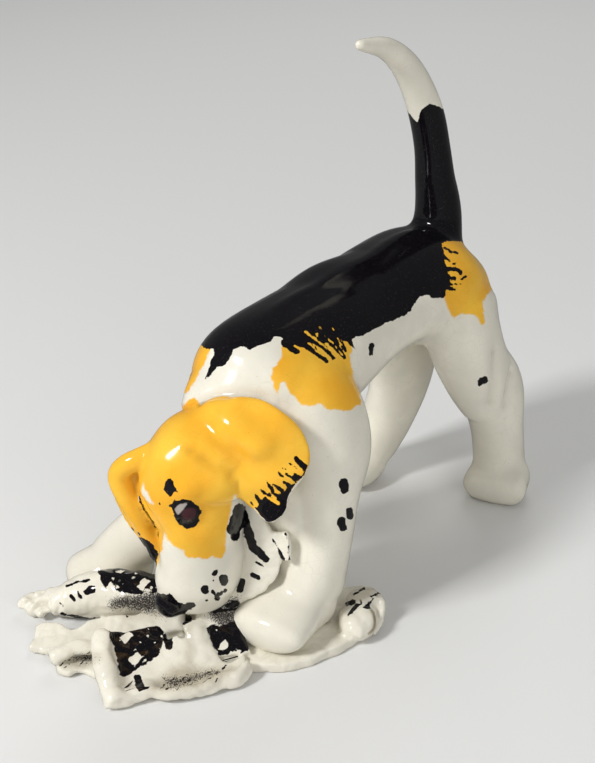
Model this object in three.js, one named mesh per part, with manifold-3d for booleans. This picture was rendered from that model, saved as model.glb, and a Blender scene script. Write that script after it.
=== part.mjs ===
// Glazed porcelain figurine of a hound puppy that noses into a torn, crumpled newspaper.
// Millimetres, +Z up. The dog faces -Y, its left side is +X, and it stands on Z = 0.
// The origin is the middle of the footprint, on the surface that the figurine stands on.
// The body and the head are hollow slip castings. Legs, ears, tail and paper are solid pieces
// that are luted on with slip, so each is cut to its neighbour with a thin joint between them.
import * as THREE from 'three';
import { mergeVertices } from 'three/addons/utils/BufferGeometryUtils.js';
import Module from 'manifold-3d';

// Walls, joints and openings of the castings
const JOINT_GAP = 0.3;
const CASTING_WALL = 3;
const NECK_OPENING = 14;
const HEAD_CAVITY = 16;
const VENT_DIAMETER = 7;

// Body: its length from the neck to the rump, its width over the hips, the height of its middle
// line at the loin and the depth of its chest
const BODY_LENGTH = 106;
const BODY_WIDTH = 42;
const BODY_HEIGHT = 75;
const BODY_DEPTH = 44;
const NECK_ROUNDING = 5;
const RUMP_ROUNDING = 8;

// Tail: it rises from the rump and curls forward
const TAIL_HEIGHT = 66;
const TAIL_CURL = 37;
const TAIL_ROOT_THICKNESS = 15;
const TAIL_THICKNESS = 9.4;
const TAIL_TIP_THICKNESS = 4.4;

// Head: it hangs from the neck with the muzzle down, turned a little to the dog's right
const HEAD_TURN = THREE.MathUtils.degToRad(12);
const HEAD_LENGTH = 60;
const SKULL_WIDTH = 26;
const SKULL_DEPTH = 27;
const FACE_WIDTH = 22.5;
const FACE_DEPTH = 25;
const MUZZLE_WIDTH = 19;
const MUZZLE_DEPTH = 23;
const CHIN_WIDTH = 17;
const CHIN_DEPTH = 20;
const HEAD_ROUNDING = 6;
const NOSE_WIDTH = 9;
const NOSE_HEIGHT = 7;

// Ears
const EAR_THICKNESS = 5;
const LEFT_EAR_BREADTH = 23;
const RIGHT_EAR_BREADTH = 17;

// Forelegs and forepaws
const SHOULDER_BLADE_WIDTH = 20;
const SHOULDER_BLADE_DEPTH = 28;
const FORELEG_WIDTH = 17.5;
const FORELEG_DEPTH = 18;
const FOREPAW_WIDTH = 23;
const FOREPAW_HEIGHT = 17;

// Hind legs and hind paws
const THIGH_WIDTH = 20;
const THIGH_DEPTH = 31;
const HOCK_WIDTH = 17.5;
const HOCK_DEPTH = 25;
const SHANK_WIDTH = 16.5;
const SHANK_DEPTH = 18;
const HINDPAW_WIDTH = 19.5;
const HINDPAW_HEIGHT = 13;
const LIMB_ROUNDING = 4;
const PAW_ROUNDING = 5;

// Newspaper
const PAPER_LENGTH = 78;
const PAPER_WIDTH = 62;
const SHEET_THICKNESS = 3;
const PAPER_THICKNESS = 2.4;
const PAPER_ROUNDING = 1;
const ROLL_DIAMETER = 12.5;

// Facets
const BODY_SIDES = 22;
const LIMB_SIDES = 14;
const PAPER_SIDES = 10;
const CAP_RINGS = 2;
const RINGS_PER_SECTION = 2;

// Glazes
const CREAM_GLAZE = { color: 0xe8e4d6, roughness: 0.15, metalness: 0 };
const YELLOW_GLAZE = { color: 0xf5bc3c, roughness: 0.15, metalness: 0 };
const BLACK_GLAZE = { color: 0x0b0a0d, roughness: 0.12, metalness: 0 };
const PAPER_GLAZE = { color: 0xefe9d8, roughness: 0.22, metalness: 0 };

const wasm = await Module();
wasm.setup();

function at(x, y, z) {
  return new THREE.Vector3(x, y, z);
}

const ACROSS_THE_DOG = at(1, 0, 0);

// A section of a loft: its middle, its width, and its depth square to the width
function section(middle, width, depth = width) {
  return { middle, width, depth };
}

// The rings of a loft: their place along the path, how far they shrink for the rounded ends,
// and how far they lie beyond the end of the path
function loftRings(stepCount, startReach, endReach) {
  const rings = [];
  for (let cap = CAP_RINGS; cap >= 1; cap -= 1) {
    const angle = cap / (CAP_RINGS + 1) * Math.PI / 2;
    rings.push({ along: 0, shrink: Math.cos(angle), beyond: -startReach * Math.sin(angle) });
  }
  for (let step = 0; step <= stepCount; step += 1) {
    rings.push({ along: step / stepCount, shrink: 1, beyond: 0 });
  }
  for (let cap = 1; cap <= CAP_RINGS; cap += 1) {
    const angle = cap / (CAP_RINGS + 1) * Math.PI / 2;
    rings.push({ along: 1, shrink: Math.cos(angle), beyond: endReach * Math.sin(angle) });
  }
  return rings;
}

// Cosine or sine with its corners filled out: 2 gives an ellipse, more a rounded rectangle
function filledOut(value, corner) {
  return Math.sign(value) * Math.abs(value) ** (2 / corner);
}

// A closed loft through sections, with rounded ends. The width of the sections lies along
// `across`, and `grow` moves the whole surface outward.
function loft(sections, options) {
  const {
    across = ACROSS_THE_DOG, sides = LIMB_SIDES, corner = 2, grow = 0,
    rounding = LIMB_ROUNDING, endRounding = rounding,
  } = options;
  const path = new THREE.CatmullRomCurve3(sections.map((each) => each.middle));
  const sizes = new THREE.CatmullRomCurve3(sections.map((each) => at(each.width, each.depth, 0)));
  const stepCount = (sections.length - 1) * RINGS_PER_SECTION;
  const rings = loftRings(stepCount, rounding + grow, endRounding + grow);
  const points = [path.getPoint(0).addScaledVector(path.getTangent(0), -rounding - grow)];
  for (const { along, shrink, beyond } of rings) {
    const tangent = path.getTangent(along);
    const side = across.clone().addScaledVector(tangent, -across.dot(tangent)).normalize();
    const depthway = new THREE.Vector3().crossVectors(tangent, side);
    const middle = path.getPoint(along).addScaledVector(tangent, beyond);
    const size = sizes.getPoint(along);
    for (let index = 0; index < sides; index += 1) {
      const angle = index / sides * Math.PI * 2;
      const sideways = filledOut(Math.cos(angle), corner) * (size.x / 2 + grow) * shrink;
      const inDepth = filledOut(Math.sin(angle), corner) * (size.y / 2 + grow) * shrink;
      const point = middle.clone().addScaledVector(side, sideways);
      points.push(point.addScaledVector(depthway, inDepth));
    }
  }
  points.push(path.getPoint(1).addScaledVector(path.getTangent(1), endRounding + grow));
  return solidFrom(points.flatMap((point) => point.toArray()), ringFaces(rings.length, sides));
}

// Triangles that close a stack of rings with a pole at each end
function ringFaces(ringCount, sides) {
  const faces = [];
  const lastPole = 1 + ringCount * sides;
  const vertex = (ring, index) => 1 + ring * sides + index % sides;
  for (let index = 0; index < sides; index += 1) {
    faces.push(0, vertex(0, index + 1), vertex(0, index));
    for (let ring = 0; ring < ringCount - 1; ring += 1) {
      const near = vertex(ring, index);
      const nearNext = vertex(ring, index + 1);
      const far = vertex(ring + 1, index);
      const farNext = vertex(ring + 1, index + 1);
      faces.push(near, nearNext, farNext, near, farNext, far);
    }
    faces.push(lastPole, vertex(ringCount - 1, index), vertex(ringCount - 1, index + 1));
  }
  return faces;
}

function solidFrom(positions, faces) {
  return new wasm.Manifold(new wasm.Mesh({
    numProp: 3,
    vertProperties: new Float32Array(positions),
    triVerts: new Uint32Array(faces),
  }));
}

// A three.js geometry as a solid that can be joined and cut
function solidOf(geometry) {
  geometry.deleteAttribute('normal');
  geometry.deleteAttribute('uv');
  const merged = mergeVertices(geometry);
  return solidFrom(merged.attributes.position.array, merged.index.array);
}

function cutBy(solid, cutters) {
  return cutters.reduce((rest, cutter) => rest.subtract(cutter), solid);
}

// Everything below a level, for flat soles and undersides
function everythingBelow(level) {
  const reach = BODY_LENGTH * 10;
  const slab = new THREE.BoxGeometry(reach, reach, reach);
  slab.translate(0, 0, level - reach / 2);
  return solidOf(slab);
}

// Body casting. Places and sizes of its sections are shares of the body's main sizes.
function bodySection(along, height, width, depth) {
  const middle = at(0, BODY_LENGTH * along, BODY_HEIGHT * height);
  return section(middle, BODY_WIDTH * width, BODY_DEPTH * depth);
}

const NECK = bodySection(-0.434, 0.813, 0.643, 0.659);
const SHOULDER = bodySection(-0.255, 0.873, 0.952, 1);
const RIBS = bodySection(-0.057, 0.94, 0.929, 0.841);
const WAIST = bodySection(0.132, 0.98, 0.881, 0.682);
const LOIN = bodySection(0.302, 1, 0.905, 0.705);
const HIP = bodySection(0.453, 0.973, 1, 0.841);
const RUMP = bodySection(0.566, 0.947, 0.786, 0.682);

function bodyForm(grow) {
  return loft([NECK, SHOULDER, RIBS, WAIST, LOIN, HIP, RUMP], {
    sides: BODY_SIDES, rounding: NECK_ROUNDING, endRounding: RUMP_ROUNDING, grow,
  });
}

function torso() {
  const neckOpening = loft([
    section(NECK.middle.clone().add(at(0, -NECK_ROUNDING * 2, 0)), NECK_OPENING),
    section(SHOULDER.middle, NECK_OPENING),
  ], {});
  const radius = VENT_DIAMETER / 2;
  const vent = new THREE.CylinderGeometry(radius, radius, WAIST.depth, LIMB_SIDES);
  vent.rotateX(Math.PI / 2);
  vent.translate(0, WAIST.middle.y, WAIST.middle.z - WAIST.depth / 2);
  return cutBy(bodyForm(0), [bodyForm(-CASTING_WALL), neckOpening, solidOf(vent)]);
}

// Head
const SKULL = NECK.middle.clone().add(at(-0.017, -0.067, -0.05).multiplyScalar(HEAD_LENGTH));
const FACE_AHEAD = at(-Math.sin(HEAD_TURN), -Math.cos(HEAD_TURN), 0);
const FACE_LEFT = at(Math.cos(HEAD_TURN), -Math.sin(HEAD_TURN), 0);

// A place on the head, counted from the middle of the skull along the turned face, as shares of
// the head's length
function onHead(left, ahead, up) {
  const place = SKULL.clone().add(at(0, 0, HEAD_LENGTH * up));
  place.addScaledVector(FACE_LEFT, HEAD_LENGTH * left);
  return place.addScaledVector(FACE_AHEAD, HEAD_LENGTH * ahead);
}

function headForm(grow) {
  const skullAndMuzzle = loft([
    section(onHead(0, -0.1, 0.15), SKULL_WIDTH * 0.8, SKULL_DEPTH * 0.75),
    section(onHead(0, 0, 0), SKULL_WIDTH, SKULL_DEPTH),
    section(onHead(0, 0.025, -0.183), FACE_WIDTH, FACE_DEPTH),
    section(onHead(0, 0.042, -0.5), MUZZLE_WIDTH, MUZZLE_DEPTH),
    section(onHead(0, 0.05, -0.667), CHIN_WIDTH, CHIN_DEPTH),
  ], { across: FACE_LEFT, sides: BODY_SIDES, rounding: HEAD_ROUNDING, grow });
  const nose = loft([
    section(onHead(0, 0.133, -0.683), NOSE_WIDTH, NOSE_HEIGHT),
    section(onHead(0, 0.2, -0.683), NOSE_WIDTH * 0.8, NOSE_HEIGHT * 0.8),
  ], { across: FACE_LEFT, sides: PAPER_SIDES, rounding: NOSE_HEIGHT / 3, grow });
  return skullAndMuzzle.add(nose);
}

function head() {
  const cavity = loft([
    section(onHead(0, 0, -0.183), HEAD_CAVITY * 0.7),
    section(onHead(0, 0, 0), HEAD_CAVITY),
    section(onHead(0, -0.233, 0.1), HEAD_CAVITY * 0.7),
  ], { across: FACE_LEFT, rounding: HEAD_CAVITY / 8 });
  return cutBy(headForm(0), [bodyForm(JOINT_GAP), cavity]);
}

// Ears: thick flaps. The left one lies back over the cheek, the right one has swung forward.
function leftEarForm(grow) {
  return loft([
    section(onHead(0.083, 0, 0.183), LEFT_EAR_BREADTH * 0.5, EAR_THICKNESS),
    section(onHead(0.192, -0.067, 0.15), LEFT_EAR_BREADTH * 0.95, EAR_THICKNESS),
    section(onHead(0.292, -0.125, 0.05), LEFT_EAR_BREADTH, EAR_THICKNESS),
    section(onHead(0.317, -0.15, -0.1), LEFT_EAR_BREADTH * 0.85, EAR_THICKNESS),
    section(onHead(0.308, -0.167, -0.208), LEFT_EAR_BREADTH * 0.5, EAR_THICKNESS * 0.8),
  ], { across: at(0.1, 0.8, 0.6), rounding: EAR_THICKNESS / 2, grow });
}

function rightEarForm(grow) {
  return loft([
    section(onHead(-0.083, 0.067, 0.083), RIGHT_EAR_BREADTH * 0.8, EAR_THICKNESS),
    section(onHead(-0.183, 0.158, 0), RIGHT_EAR_BREADTH, EAR_THICKNESS * 1.2),
    section(onHead(-0.242, 0.2, -0.133), RIGHT_EAR_BREADTH, EAR_THICKNESS * 1.2),
    section(onHead(-0.242, 0.2, -0.283), RIGHT_EAR_BREADTH * 0.95, EAR_THICKNESS),
    section(onHead(-0.192, 0.208, -0.433), RIGHT_EAR_BREADTH * 0.7, EAR_THICKNESS * 0.9),
    section(onHead(-0.158, 0.192, -0.55), RIGHT_EAR_BREADTH * 0.35, EAR_THICKNESS * 0.8),
  ], { across: at(-0.25, 1, 0), rounding: EAR_THICKNESS / 2, grow });
}

// Tail
function tail() {
  const rootY = (HIP.middle.y + RUMP.middle.y) / 2;
  const rootZ = HIP.middle.z + HIP.depth * 0.3;
  const place = (curl, rise) => at(0, rootY - TAIL_CURL * curl, rootZ + TAIL_HEIGHT * rise);
  const whole = loft([
    section(place(0, -0.12), TAIL_ROOT_THICKNESS * 1.2, TAIL_ROOT_THICKNESS * 1.3),
    section(place(0, 0.12), TAIL_ROOT_THICKNESS * 0.85, TAIL_ROOT_THICKNESS * 0.95),
    section(place(0, 0.42), TAIL_THICKNESS),
    section(place(0.11, 0.65), TAIL_THICKNESS),
    section(place(0.46, 0.88), TAIL_THICKNESS * 0.88),
    section(place(0.72, 0.97), TAIL_THICKNESS * 0.7),
    section(place(1, 1), TAIL_TIP_THICKNESS),
  ], { endRounding: TAIL_TIP_THICKNESS * 0.7 });
  return cutBy(whole, [bodyForm(JOINT_GAP)]);
}

// A place on a leg: sideways as a share of the body's width, behind the shoulder or the hip as a
// share of its length, and up as a share of that joint's height
function fromShoulder(out, behind, up) {
  const { y, z } = SHOULDER.middle;
  return at(BODY_WIDTH * out, y + BODY_LENGTH * behind, z * up);
}

function fromHip(out, behind, up) {
  const { y, z } = HIP.middle;
  return at(BODY_WIDTH * out, y + BODY_LENGTH * behind, z * up);
}

function leftForelegForm(grow) {
  const limb = loft([
    section(fromShoulder(0.19, 0.028, 1.12), SHOULDER_BLADE_WIDTH, SHOULDER_BLADE_DEPTH * 0.8),
    section(fromShoulder(0.369, 0.038, 1), SHOULDER_BLADE_WIDTH, SHOULDER_BLADE_DEPTH),
    section(fromShoulder(0.476, 0.047, 0.82), SHOULDER_BLADE_WIDTH, SHOULDER_BLADE_DEPTH * 0.95),
    section(fromShoulder(0.5, 0.019, 0.64), FORELEG_WIDTH, FORELEG_DEPTH * 1.17),
    section(fromShoulder(0.5, 0, 0.46), FORELEG_WIDTH, FORELEG_DEPTH),
    section(fromShoulder(0.476, -0.028, 0.21), FORELEG_WIDTH, FORELEG_DEPTH * 1.17),
  ], { grow });
  const paw = loft([
    section(fromShoulder(0.452, -0.009, 0.14), FOREPAW_WIDTH * 0.8, FOREPAW_HEIGHT),
    section(fromShoulder(0.405, -0.094, 0.14), FOREPAW_WIDTH, FOREPAW_HEIGHT),
    section(fromShoulder(0.429, -0.189, 0.12), FOREPAW_WIDTH, FOREPAW_HEIGHT * 0.75),
  ], { rounding: PAW_ROUNDING, grow });
  return limb.add(paw);
}

function rightForelegForm(grow) {
  const limb = loft([
    section(fromShoulder(-0.262, 0.028, 1), SHOULDER_BLADE_WIDTH, SHOULDER_BLADE_DEPTH),
    section(fromShoulder(-0.357, 0.028, 0.8), SHOULDER_BLADE_WIDTH, SHOULDER_BLADE_DEPTH * 0.9),
    section(fromShoulder(-0.5, -0.019, 0.58), FORELEG_WIDTH, FORELEG_DEPTH * 1.17),
    section(fromShoulder(-0.69, -0.085, 0.38), FORELEG_WIDTH, FORELEG_DEPTH),
    section(fromShoulder(-0.833, -0.16, 0.18), FORELEG_WIDTH, FORELEG_DEPTH),
  ], { across: at(1, -0.4, 0), grow });
  const paw = loft([
    section(fromShoulder(-0.81, -0.142, 0.109), FOREPAW_WIDTH * 0.8, FOREPAW_HEIGHT * 0.9),
    section(fromShoulder(-0.952, -0.208, 0.093), FOREPAW_WIDTH * 0.85, FOREPAW_HEIGHT * 0.8),
    section(fromShoulder(-1.071, -0.264, 0.078), FOREPAW_WIDTH * 0.75, FOREPAW_HEIGHT * 0.65),
  ], { across: at(1, -0.8, 0), rounding: PAW_ROUNDING, grow });
  return limb.add(paw);
}

function leftHindLegForm(grow) {
  const limb = loft([
    section(fromHip(0.286, 0.009, 0.97), THIGH_WIDTH * 0.9, THIGH_DEPTH * 0.95),
    section(fromHip(0.381, 0, 0.81), THIGH_WIDTH, THIGH_DEPTH),
    section(fromHip(0.452, 0.047, 0.64), THIGH_WIDTH * 0.95, THIGH_DEPTH * 0.85),
    section(fromHip(0.512, 0.127, 0.49), HOCK_WIDTH, HOCK_DEPTH),
    section(fromHip(0.548, 0.151, 0.33), SHANK_WIDTH, SHANK_DEPTH),
    section(fromHip(0.56, 0.17, 0.16), SHANK_WIDTH, SHANK_DEPTH),
  ], { grow });
  const paw = loft([
    section(fromHip(0.583, 0.189, 0.09), HINDPAW_WIDTH * 0.95, HINDPAW_HEIGHT),
    section(fromHip(0.619, 0.132, 0.08), HINDPAW_WIDTH, HINDPAW_HEIGHT),
    section(fromHip(0.643, 0.104, 0.075), HINDPAW_WIDTH, HINDPAW_HEIGHT * 0.9),
  ], { across: at(1, 0.3, 0), rounding: PAW_ROUNDING, grow });
  return limb.add(paw);
}

function rightHindLegForm(grow) {
  const limb = loft([
    section(fromHip(-0.262, 0.019, 0.97), THIGH_WIDTH * 0.95, THIGH_DEPTH * 0.95),
    section(fromHip(-0.262, 0.066, 0.77), THIGH_WIDTH, THIGH_DEPTH),
    section(fromHip(-0.25, 0.094, 0.58), THIGH_WIDTH, THIGH_DEPTH * 0.9),
    section(fromHip(-0.262, 0.094, 0.44), HOCK_WIDTH, HOCK_DEPTH),
    section(fromHip(-0.31, 0.057, 0.27), SHANK_WIDTH, SHANK_DEPTH * 1.1),
    section(fromHip(-0.369, 0.009, 0.15), SHANK_WIDTH, SHANK_DEPTH),
  ], { grow });
  const paw = loft([
    section(fromHip(-0.393, -0.009, 0.09), HINDPAW_WIDTH * 0.9, HINDPAW_HEIGHT),
    section(fromHip(-0.405, -0.057, 0.08), HINDPAW_WIDTH, HINDPAW_HEIGHT),
    section(fromHip(-0.429, -0.094, 0.075), HINDPAW_WIDTH, HINDPAW_HEIGHT * 0.9),
  ], { across: at(1, -0.15, 0), rounding: PAW_ROUNDING, grow });
  return limb.add(paw);
}

// Newspaper: a flat sheet carries rolled, folded and torn leaves
// Places on it are shares of its width and length, counted from under the neck.
function sheetOutline(grow) {
  const corners = [
    [0.548, 0.385], [0.508, 0.205], [0.468, 0.026], [0.387, -0.128], [0.323, -0.231],
    [0.226, -0.346], [0.097, -0.462], [-0.016, -0.513], [-0.161, -0.462], [-0.323, -0.41],
    [-0.452, -0.308], [-0.419, -0.179], [-0.226, -0.077], [-0.065, 0.051], [0.065, 0.179],
    [0.194, 0.333], [0.355, 0.462], [0.484, 0.487],
  ].map(([across, along]) => {
    return new THREE.Vector2(PAPER_WIDTH * across, NECK.middle.y + PAPER_LENGTH * along);
  });
  const middle = corners.reduce((sum, corner) => sum.add(corner), new THREE.Vector2());
  middle.divideScalar(corners.length);
  for (const corner of corners) {
    corner.addScaledVector(corner.clone().sub(middle).normalize(), grow);
  }
  const edge = new THREE.SplineCurve([...corners, corners[0]]).getPoints(corners.length * 2);
  return new THREE.Shape(edge.slice(0, -1));
}

function sheetForm(grow) {
  const depth = SHEET_THICKNESS + grow;
  return solidOf(new THREE.ExtrudeGeometry(sheetOutline(grow), { depth, bevelEnabled: false }));
}

// A place above the flat sheet: its rise is a share of the roll's diameter
function onPaper(across, along, rise) {
  const y = NECK.middle.y + PAPER_LENGTH * along;
  return at(PAPER_WIDTH * across, y, SHEET_THICKNESS + ROLL_DIAMETER * rise);
}

// A section of a leaf: its width is a share of the whole paper's width
function leafSection(middle, width, thickness = PAPER_THICKNESS) {
  return section(middle, PAPER_WIDTH * width, thickness);
}

// A leaf of folded paper: a loft with blunt edges
function leaf(sections, across, grow) {
  const options = { across, sides: PAPER_SIDES, corner: 3, rounding: PAPER_ROUNDING, grow };
  return loft(sections, options);
}

function backRoll(grow) {
  return loft([
    section(onPaper(-0.742, -0.385, 0.12), ROLL_DIAMETER * 0.45, ROLL_DIAMETER * 0.4),
    section(onPaper(-0.613, -0.295, 0.2), ROLL_DIAMETER * 0.75, ROLL_DIAMETER * 0.7),
    section(onPaper(-0.419, -0.179, 0.32), ROLL_DIAMETER),
    section(onPaper(-0.161, -0.077, 0.36), ROLL_DIAMETER),
  ], { across: at(1, -1, 0), sides: PAPER_SIDES, rounding: PAPER_ROUNDING * 2, grow });
}

function leftTongue(grow) {
  return leaf([
    leafSection(onPaper(-0.516, -0.5, 0.128), 0.145),
    leafSection(onPaper(-0.387, -0.423, 0.16), 0.194),
    leafSection(onPaper(-0.194, -0.308, 0.28), 0.21),
    leafSection(onPaper(-0.032, -0.205, 0.4), 0.177),
  ], at(0.6, -0.8, 0), grow);
}

function leftLeaf(grow) {
  return leaf([
    leafSection(onPaper(-0.355, -0.526, 0), 0.145),
    leafSection(onPaper(-0.242, -0.462, 0.016), 0.177),
    leafSection(onPaper(-0.113, -0.41, 0.128), 0.161),
  ], at(0.6, -0.8, -0.1), grow);
}

function frontFold(grow) {
  return leaf([
    leafSection(onPaper(-0.121, -0.494, 0.28), 0.274, PAPER_THICKNESS * 1.4),
    leafSection(onPaper(-0.032, -0.41, 0.36), 0.258),
    leafSection(onPaper(0.048, -0.308, 0.44), 0.21),
  ], at(-0.65, 0.4, 0.65), grow);
}

function frontRim(grow) {
  return leaf([
    leafSection(onPaper(0, -0.494, 0.12), 0.097),
    leafSection(onPaper(0.121, -0.404, 0.12), 0.097),
    leafSection(onPaper(0.226, -0.301, 0.12), 0.097),
    leafSection(onPaper(0.306, -0.192, 0.12), 0.097),
  ], at(0.7, -0.6, 0.35), grow);
}

function centreRidge(grow) {
  return leaf([
    leafSection(onPaper(0.04, -0.103, 0.48), 0.129, ROLL_DIAMETER * 0.64),
    leafSection(onPaper(0.097, -0.179, 0.32), 0.129, ROLL_DIAMETER * 0.56),
    leafSection(onPaper(0.161, -0.269, 0.128), 0.145, ROLL_DIAMETER * 0.32),
  ], at(1, 0.5, 0), grow);
}

function printPanel(grow) {
  return leaf([
    leafSection(onPaper(0.113, -0.058, 0.56), 0.177),
    leafSection(onPaper(0.194, -0.09, 0.36), 0.194),
    leafSection(onPaper(0.258, -0.128, 0.144), 0.194),
  ], at(0.35, -0.75, -0.2), grow);
}

// The strip between the teeth hangs from the mouth to the sheet
function mouthStrip(grow) {
  return leaf([
    leafSection(onHead(0.14, -0.14, -0.333), 0.081),
    leafSection(onHead(0.158, -0.178, -0.467), 0.145),
    leafSection(onHead(0.155, -0.195, -0.617), 0.177),
    leafSection(onPaper(0.113, 0.038, 0.72), 0.194),
    leafSection(onPaper(0.048, 0, 0.24), 0.145),
  ], at(0.8, 0.6, 0), grow);
}

function cheekScrap(grow) {
  return leaf([
    leafSection(onHead(0.21, -0.257, -0.4), 0.048, PAPER_THICKNESS * 0.8),
    leafSection(onHead(0.208, -0.265, -0.5), 0.097, PAPER_THICKNESS * 0.8),
    leafSection(onHead(0.185, -0.252, -0.617), 0.113, PAPER_THICKNESS * 0.8),
  ], at(0.75, 0.65, 0), grow);
}

function rightCurl(grow) {
  return loft([
    leafSection(onPaper(0.331, 0.346, 0.2), 0.145, ROLL_DIAMETER * 0.52),
    leafSection(onPaper(0.419, 0.359, 0.2), 0.145, ROLL_DIAMETER * 0.56),
    leafSection(onPaper(0.484, 0.353, 0.16), 0.129, ROLL_DIAMETER * 0.48),
  ], { across: at(0.1, 1, 0), sides: PAPER_SIDES, rounding: PAPER_ROUNDING * 1.5, grow });
}

function rightLeaf(grow) {
  return leaf([
    leafSection(onPaper(0.508, 0.295, 0.12), 0.081),
    leafSection(onPaper(0.516, 0.359, 0.16), 0.129),
    leafSection(onPaper(0.516, 0.436, 0.2), 0.145),
  ], at(0.5, 0, 1), grow);
}

const FOLDED_PAPER = {
  paper_back_roll: backRoll,
  paper_left_tongue: leftTongue,
  paper_left_leaf: leftLeaf,
  paper_front_fold: frontFold,
  paper_front_rim: frontRim,
  paper_centre_ridge: centreRidge,
  paper_print_panel: printPanel,
  paper_mouth_strip: mouthStrip,
  paper_cheek_scrap: cheekScrap,
  paper_right_curl: rightCurl,
  paper_right_leaf: rightLeaf,
};

const group = new THREE.Group();

function addPiece(name, solid, glaze) {
  const { vertProperties, triVerts } = solid.getMesh();
  const geometry = new THREE.BufferGeometry();
  geometry.setAttribute('position', new THREE.BufferAttribute(vertProperties, 3));
  geometry.setIndex(new THREE.BufferAttribute(triVerts, 1));
  geometry.computeVertexNormals();
  const piece = new THREE.Mesh(geometry, new THREE.MeshStandardMaterial(glaze));
  piece.name = name;
  group.add(piece);
}

// Each piece is cut by the neighbours that it is luted to, grown by the joint
const floor = everythingBelow(0);
const sheetTop = everythingBelow(SHEET_THICKNESS + JOINT_GAP);
const body = bodyForm(JOINT_GAP);
const face = headForm(JOINT_GAP);
const leftForeleg = leftForelegForm(JOINT_GAP);
const rightForeleg = rightForelegForm(JOINT_GAP);
const sheet = sheetForm(JOINT_GAP);

addPiece('torso', torso(), CREAM_GLAZE);
addPiece('head', head(), YELLOW_GLAZE);
addPiece('left_ear', cutBy(leftEarForm(0), [face, body, leftForeleg]), YELLOW_GLAZE);
addPiece('right_ear', cutBy(rightEarForm(0), [face, body, rightForeleg]), YELLOW_GLAZE);
addPiece('tail', tail(), BLACK_GLAZE);
addPiece('left_foreleg', cutBy(leftForelegForm(0), [body, face, sheetTop]), CREAM_GLAZE);
addPiece('right_foreleg', cutBy(rightForelegForm(0), [body, face, floor, sheet]), CREAM_GLAZE);
addPiece('left_hind_leg', cutBy(leftHindLegForm(0), [body, floor]), CREAM_GLAZE);
addPiece('right_hind_leg', cutBy(rightHindLegForm(0), [body, floor]), CREAM_GLAZE);
addPiece('paper_base_sheet', sheetForm(0), PAPER_GLAZE);

// Each leaf is laid on what lies below it, so it is cut by the dog, the sheet and earlier leaves
const underneath = [floor, sheet, face, leftForeleg, rightForeleg];
for (const [name, form] of Object.entries(FOLDED_PAPER)) {
  addPiece(name, cutBy(form(0), underneath), PAPER_GLAZE);
  underneath.push(form(JOINT_GAP));
}

// The origin goes to the middle of the footprint
const footprint = new THREE.Box3().setFromObject(group);
const middle = footprint.getCenter(new THREE.Vector3());
for (const piece of group.children) {
  piece.geometry.translate(-middle.x, -middle.y, -footprint.min.z);
}

export default group;
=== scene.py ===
import math

import bmesh
import bpy
import numpy as np
from mathutils import Matrix, Vector, noise
from mathutils.bvhtree import BVHTree


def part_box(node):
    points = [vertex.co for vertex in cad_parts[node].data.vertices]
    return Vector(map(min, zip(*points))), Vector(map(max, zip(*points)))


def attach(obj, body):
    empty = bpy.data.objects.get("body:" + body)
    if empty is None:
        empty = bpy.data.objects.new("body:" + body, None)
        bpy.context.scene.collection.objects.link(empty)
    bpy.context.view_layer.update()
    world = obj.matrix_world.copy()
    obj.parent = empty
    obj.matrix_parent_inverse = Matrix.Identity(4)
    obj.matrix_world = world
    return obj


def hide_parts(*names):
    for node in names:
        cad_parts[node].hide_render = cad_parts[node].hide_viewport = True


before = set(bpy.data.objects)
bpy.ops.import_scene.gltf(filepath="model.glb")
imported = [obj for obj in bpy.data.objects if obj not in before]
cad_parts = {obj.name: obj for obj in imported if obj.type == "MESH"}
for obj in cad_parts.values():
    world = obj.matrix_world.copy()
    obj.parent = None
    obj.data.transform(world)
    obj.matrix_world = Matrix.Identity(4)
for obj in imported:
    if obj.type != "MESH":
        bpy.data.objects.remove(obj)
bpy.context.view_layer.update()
scene = bpy.context.scene

# Glazed porcelain hound puppy that noses into a torn, crumpled newspaper.
# Forms are in millimetres in the dog's own frame: it faces -Y, its left side is +X, the table is
# Z = 0 and X = 0 is the middle of its body. A form is put in its place in metres at the end.
# Painted marks are outlines in pixels of the photograph, 595 x 763, and the camera's rays lay
# them on the form. The side that the photograph hides gets the mirror image of the side it shows.
MILLIMETRE = 0.001
RUMP_END = 68.05
TORSO_LOW, TORSO_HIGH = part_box("torso")
DOG_PLACE = Matrix.Translation(
    ((TORSO_LOW.x + TORSO_HIGH.x) / 2, TORSO_HIGH.y - RUMP_END * MILLIMETRE, 0)
) @ Matrix.Scale(MILLIMETRE, 4)

# Camera
CAMERA_AZIMUTH = math.radians(38)
CAMERA_ELEVATION = math.radians(26.5)
CAMERA_DISTANCE = 370
CAMERA_TARGET = np.array((-2.0, -8.0, 61.0))
FOCAL_PIXELS = 1320
PICTURE = np.array((595, 763))
SENSOR = 36
TOWARDS_CAMERA = np.array((
    math.sin(CAMERA_AZIMUTH) * math.cos(CAMERA_ELEVATION),
    -math.cos(CAMERA_AZIMUTH) * math.cos(CAMERA_ELEVATION),
    math.sin(CAMERA_ELEVATION),
))
CAMERA_RIGHT = np.array((math.cos(CAMERA_AZIMUTH), math.sin(CAMERA_AZIMUTH), 0))
CAMERA_UP = np.cross(TOWARDS_CAMERA, CAMERA_RIGHT)
CAMERA_SPOT = CAMERA_TARGET + TOWARDS_CAMERA * CAMERA_DISTANCE
PIXELS_PER_MILLIMETRE = FOCAL_PIXELS / CAMERA_DISTANCE

# The grain of the melted surfaces. Rounds of smoothing are counted for the finished grain.
FINISHED_SKIN_GRAIN = 0.5
FINISHED_PAPER_GRAIN = 0.45
SKIN_GRAIN = FINISHED_SKIN_GRAIN
PAPER_GRAIN = FINISHED_PAPER_GRAIN

# How far a point of a melted surface looks for the clay that it came from
CLAY_REACH = 3.0

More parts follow.
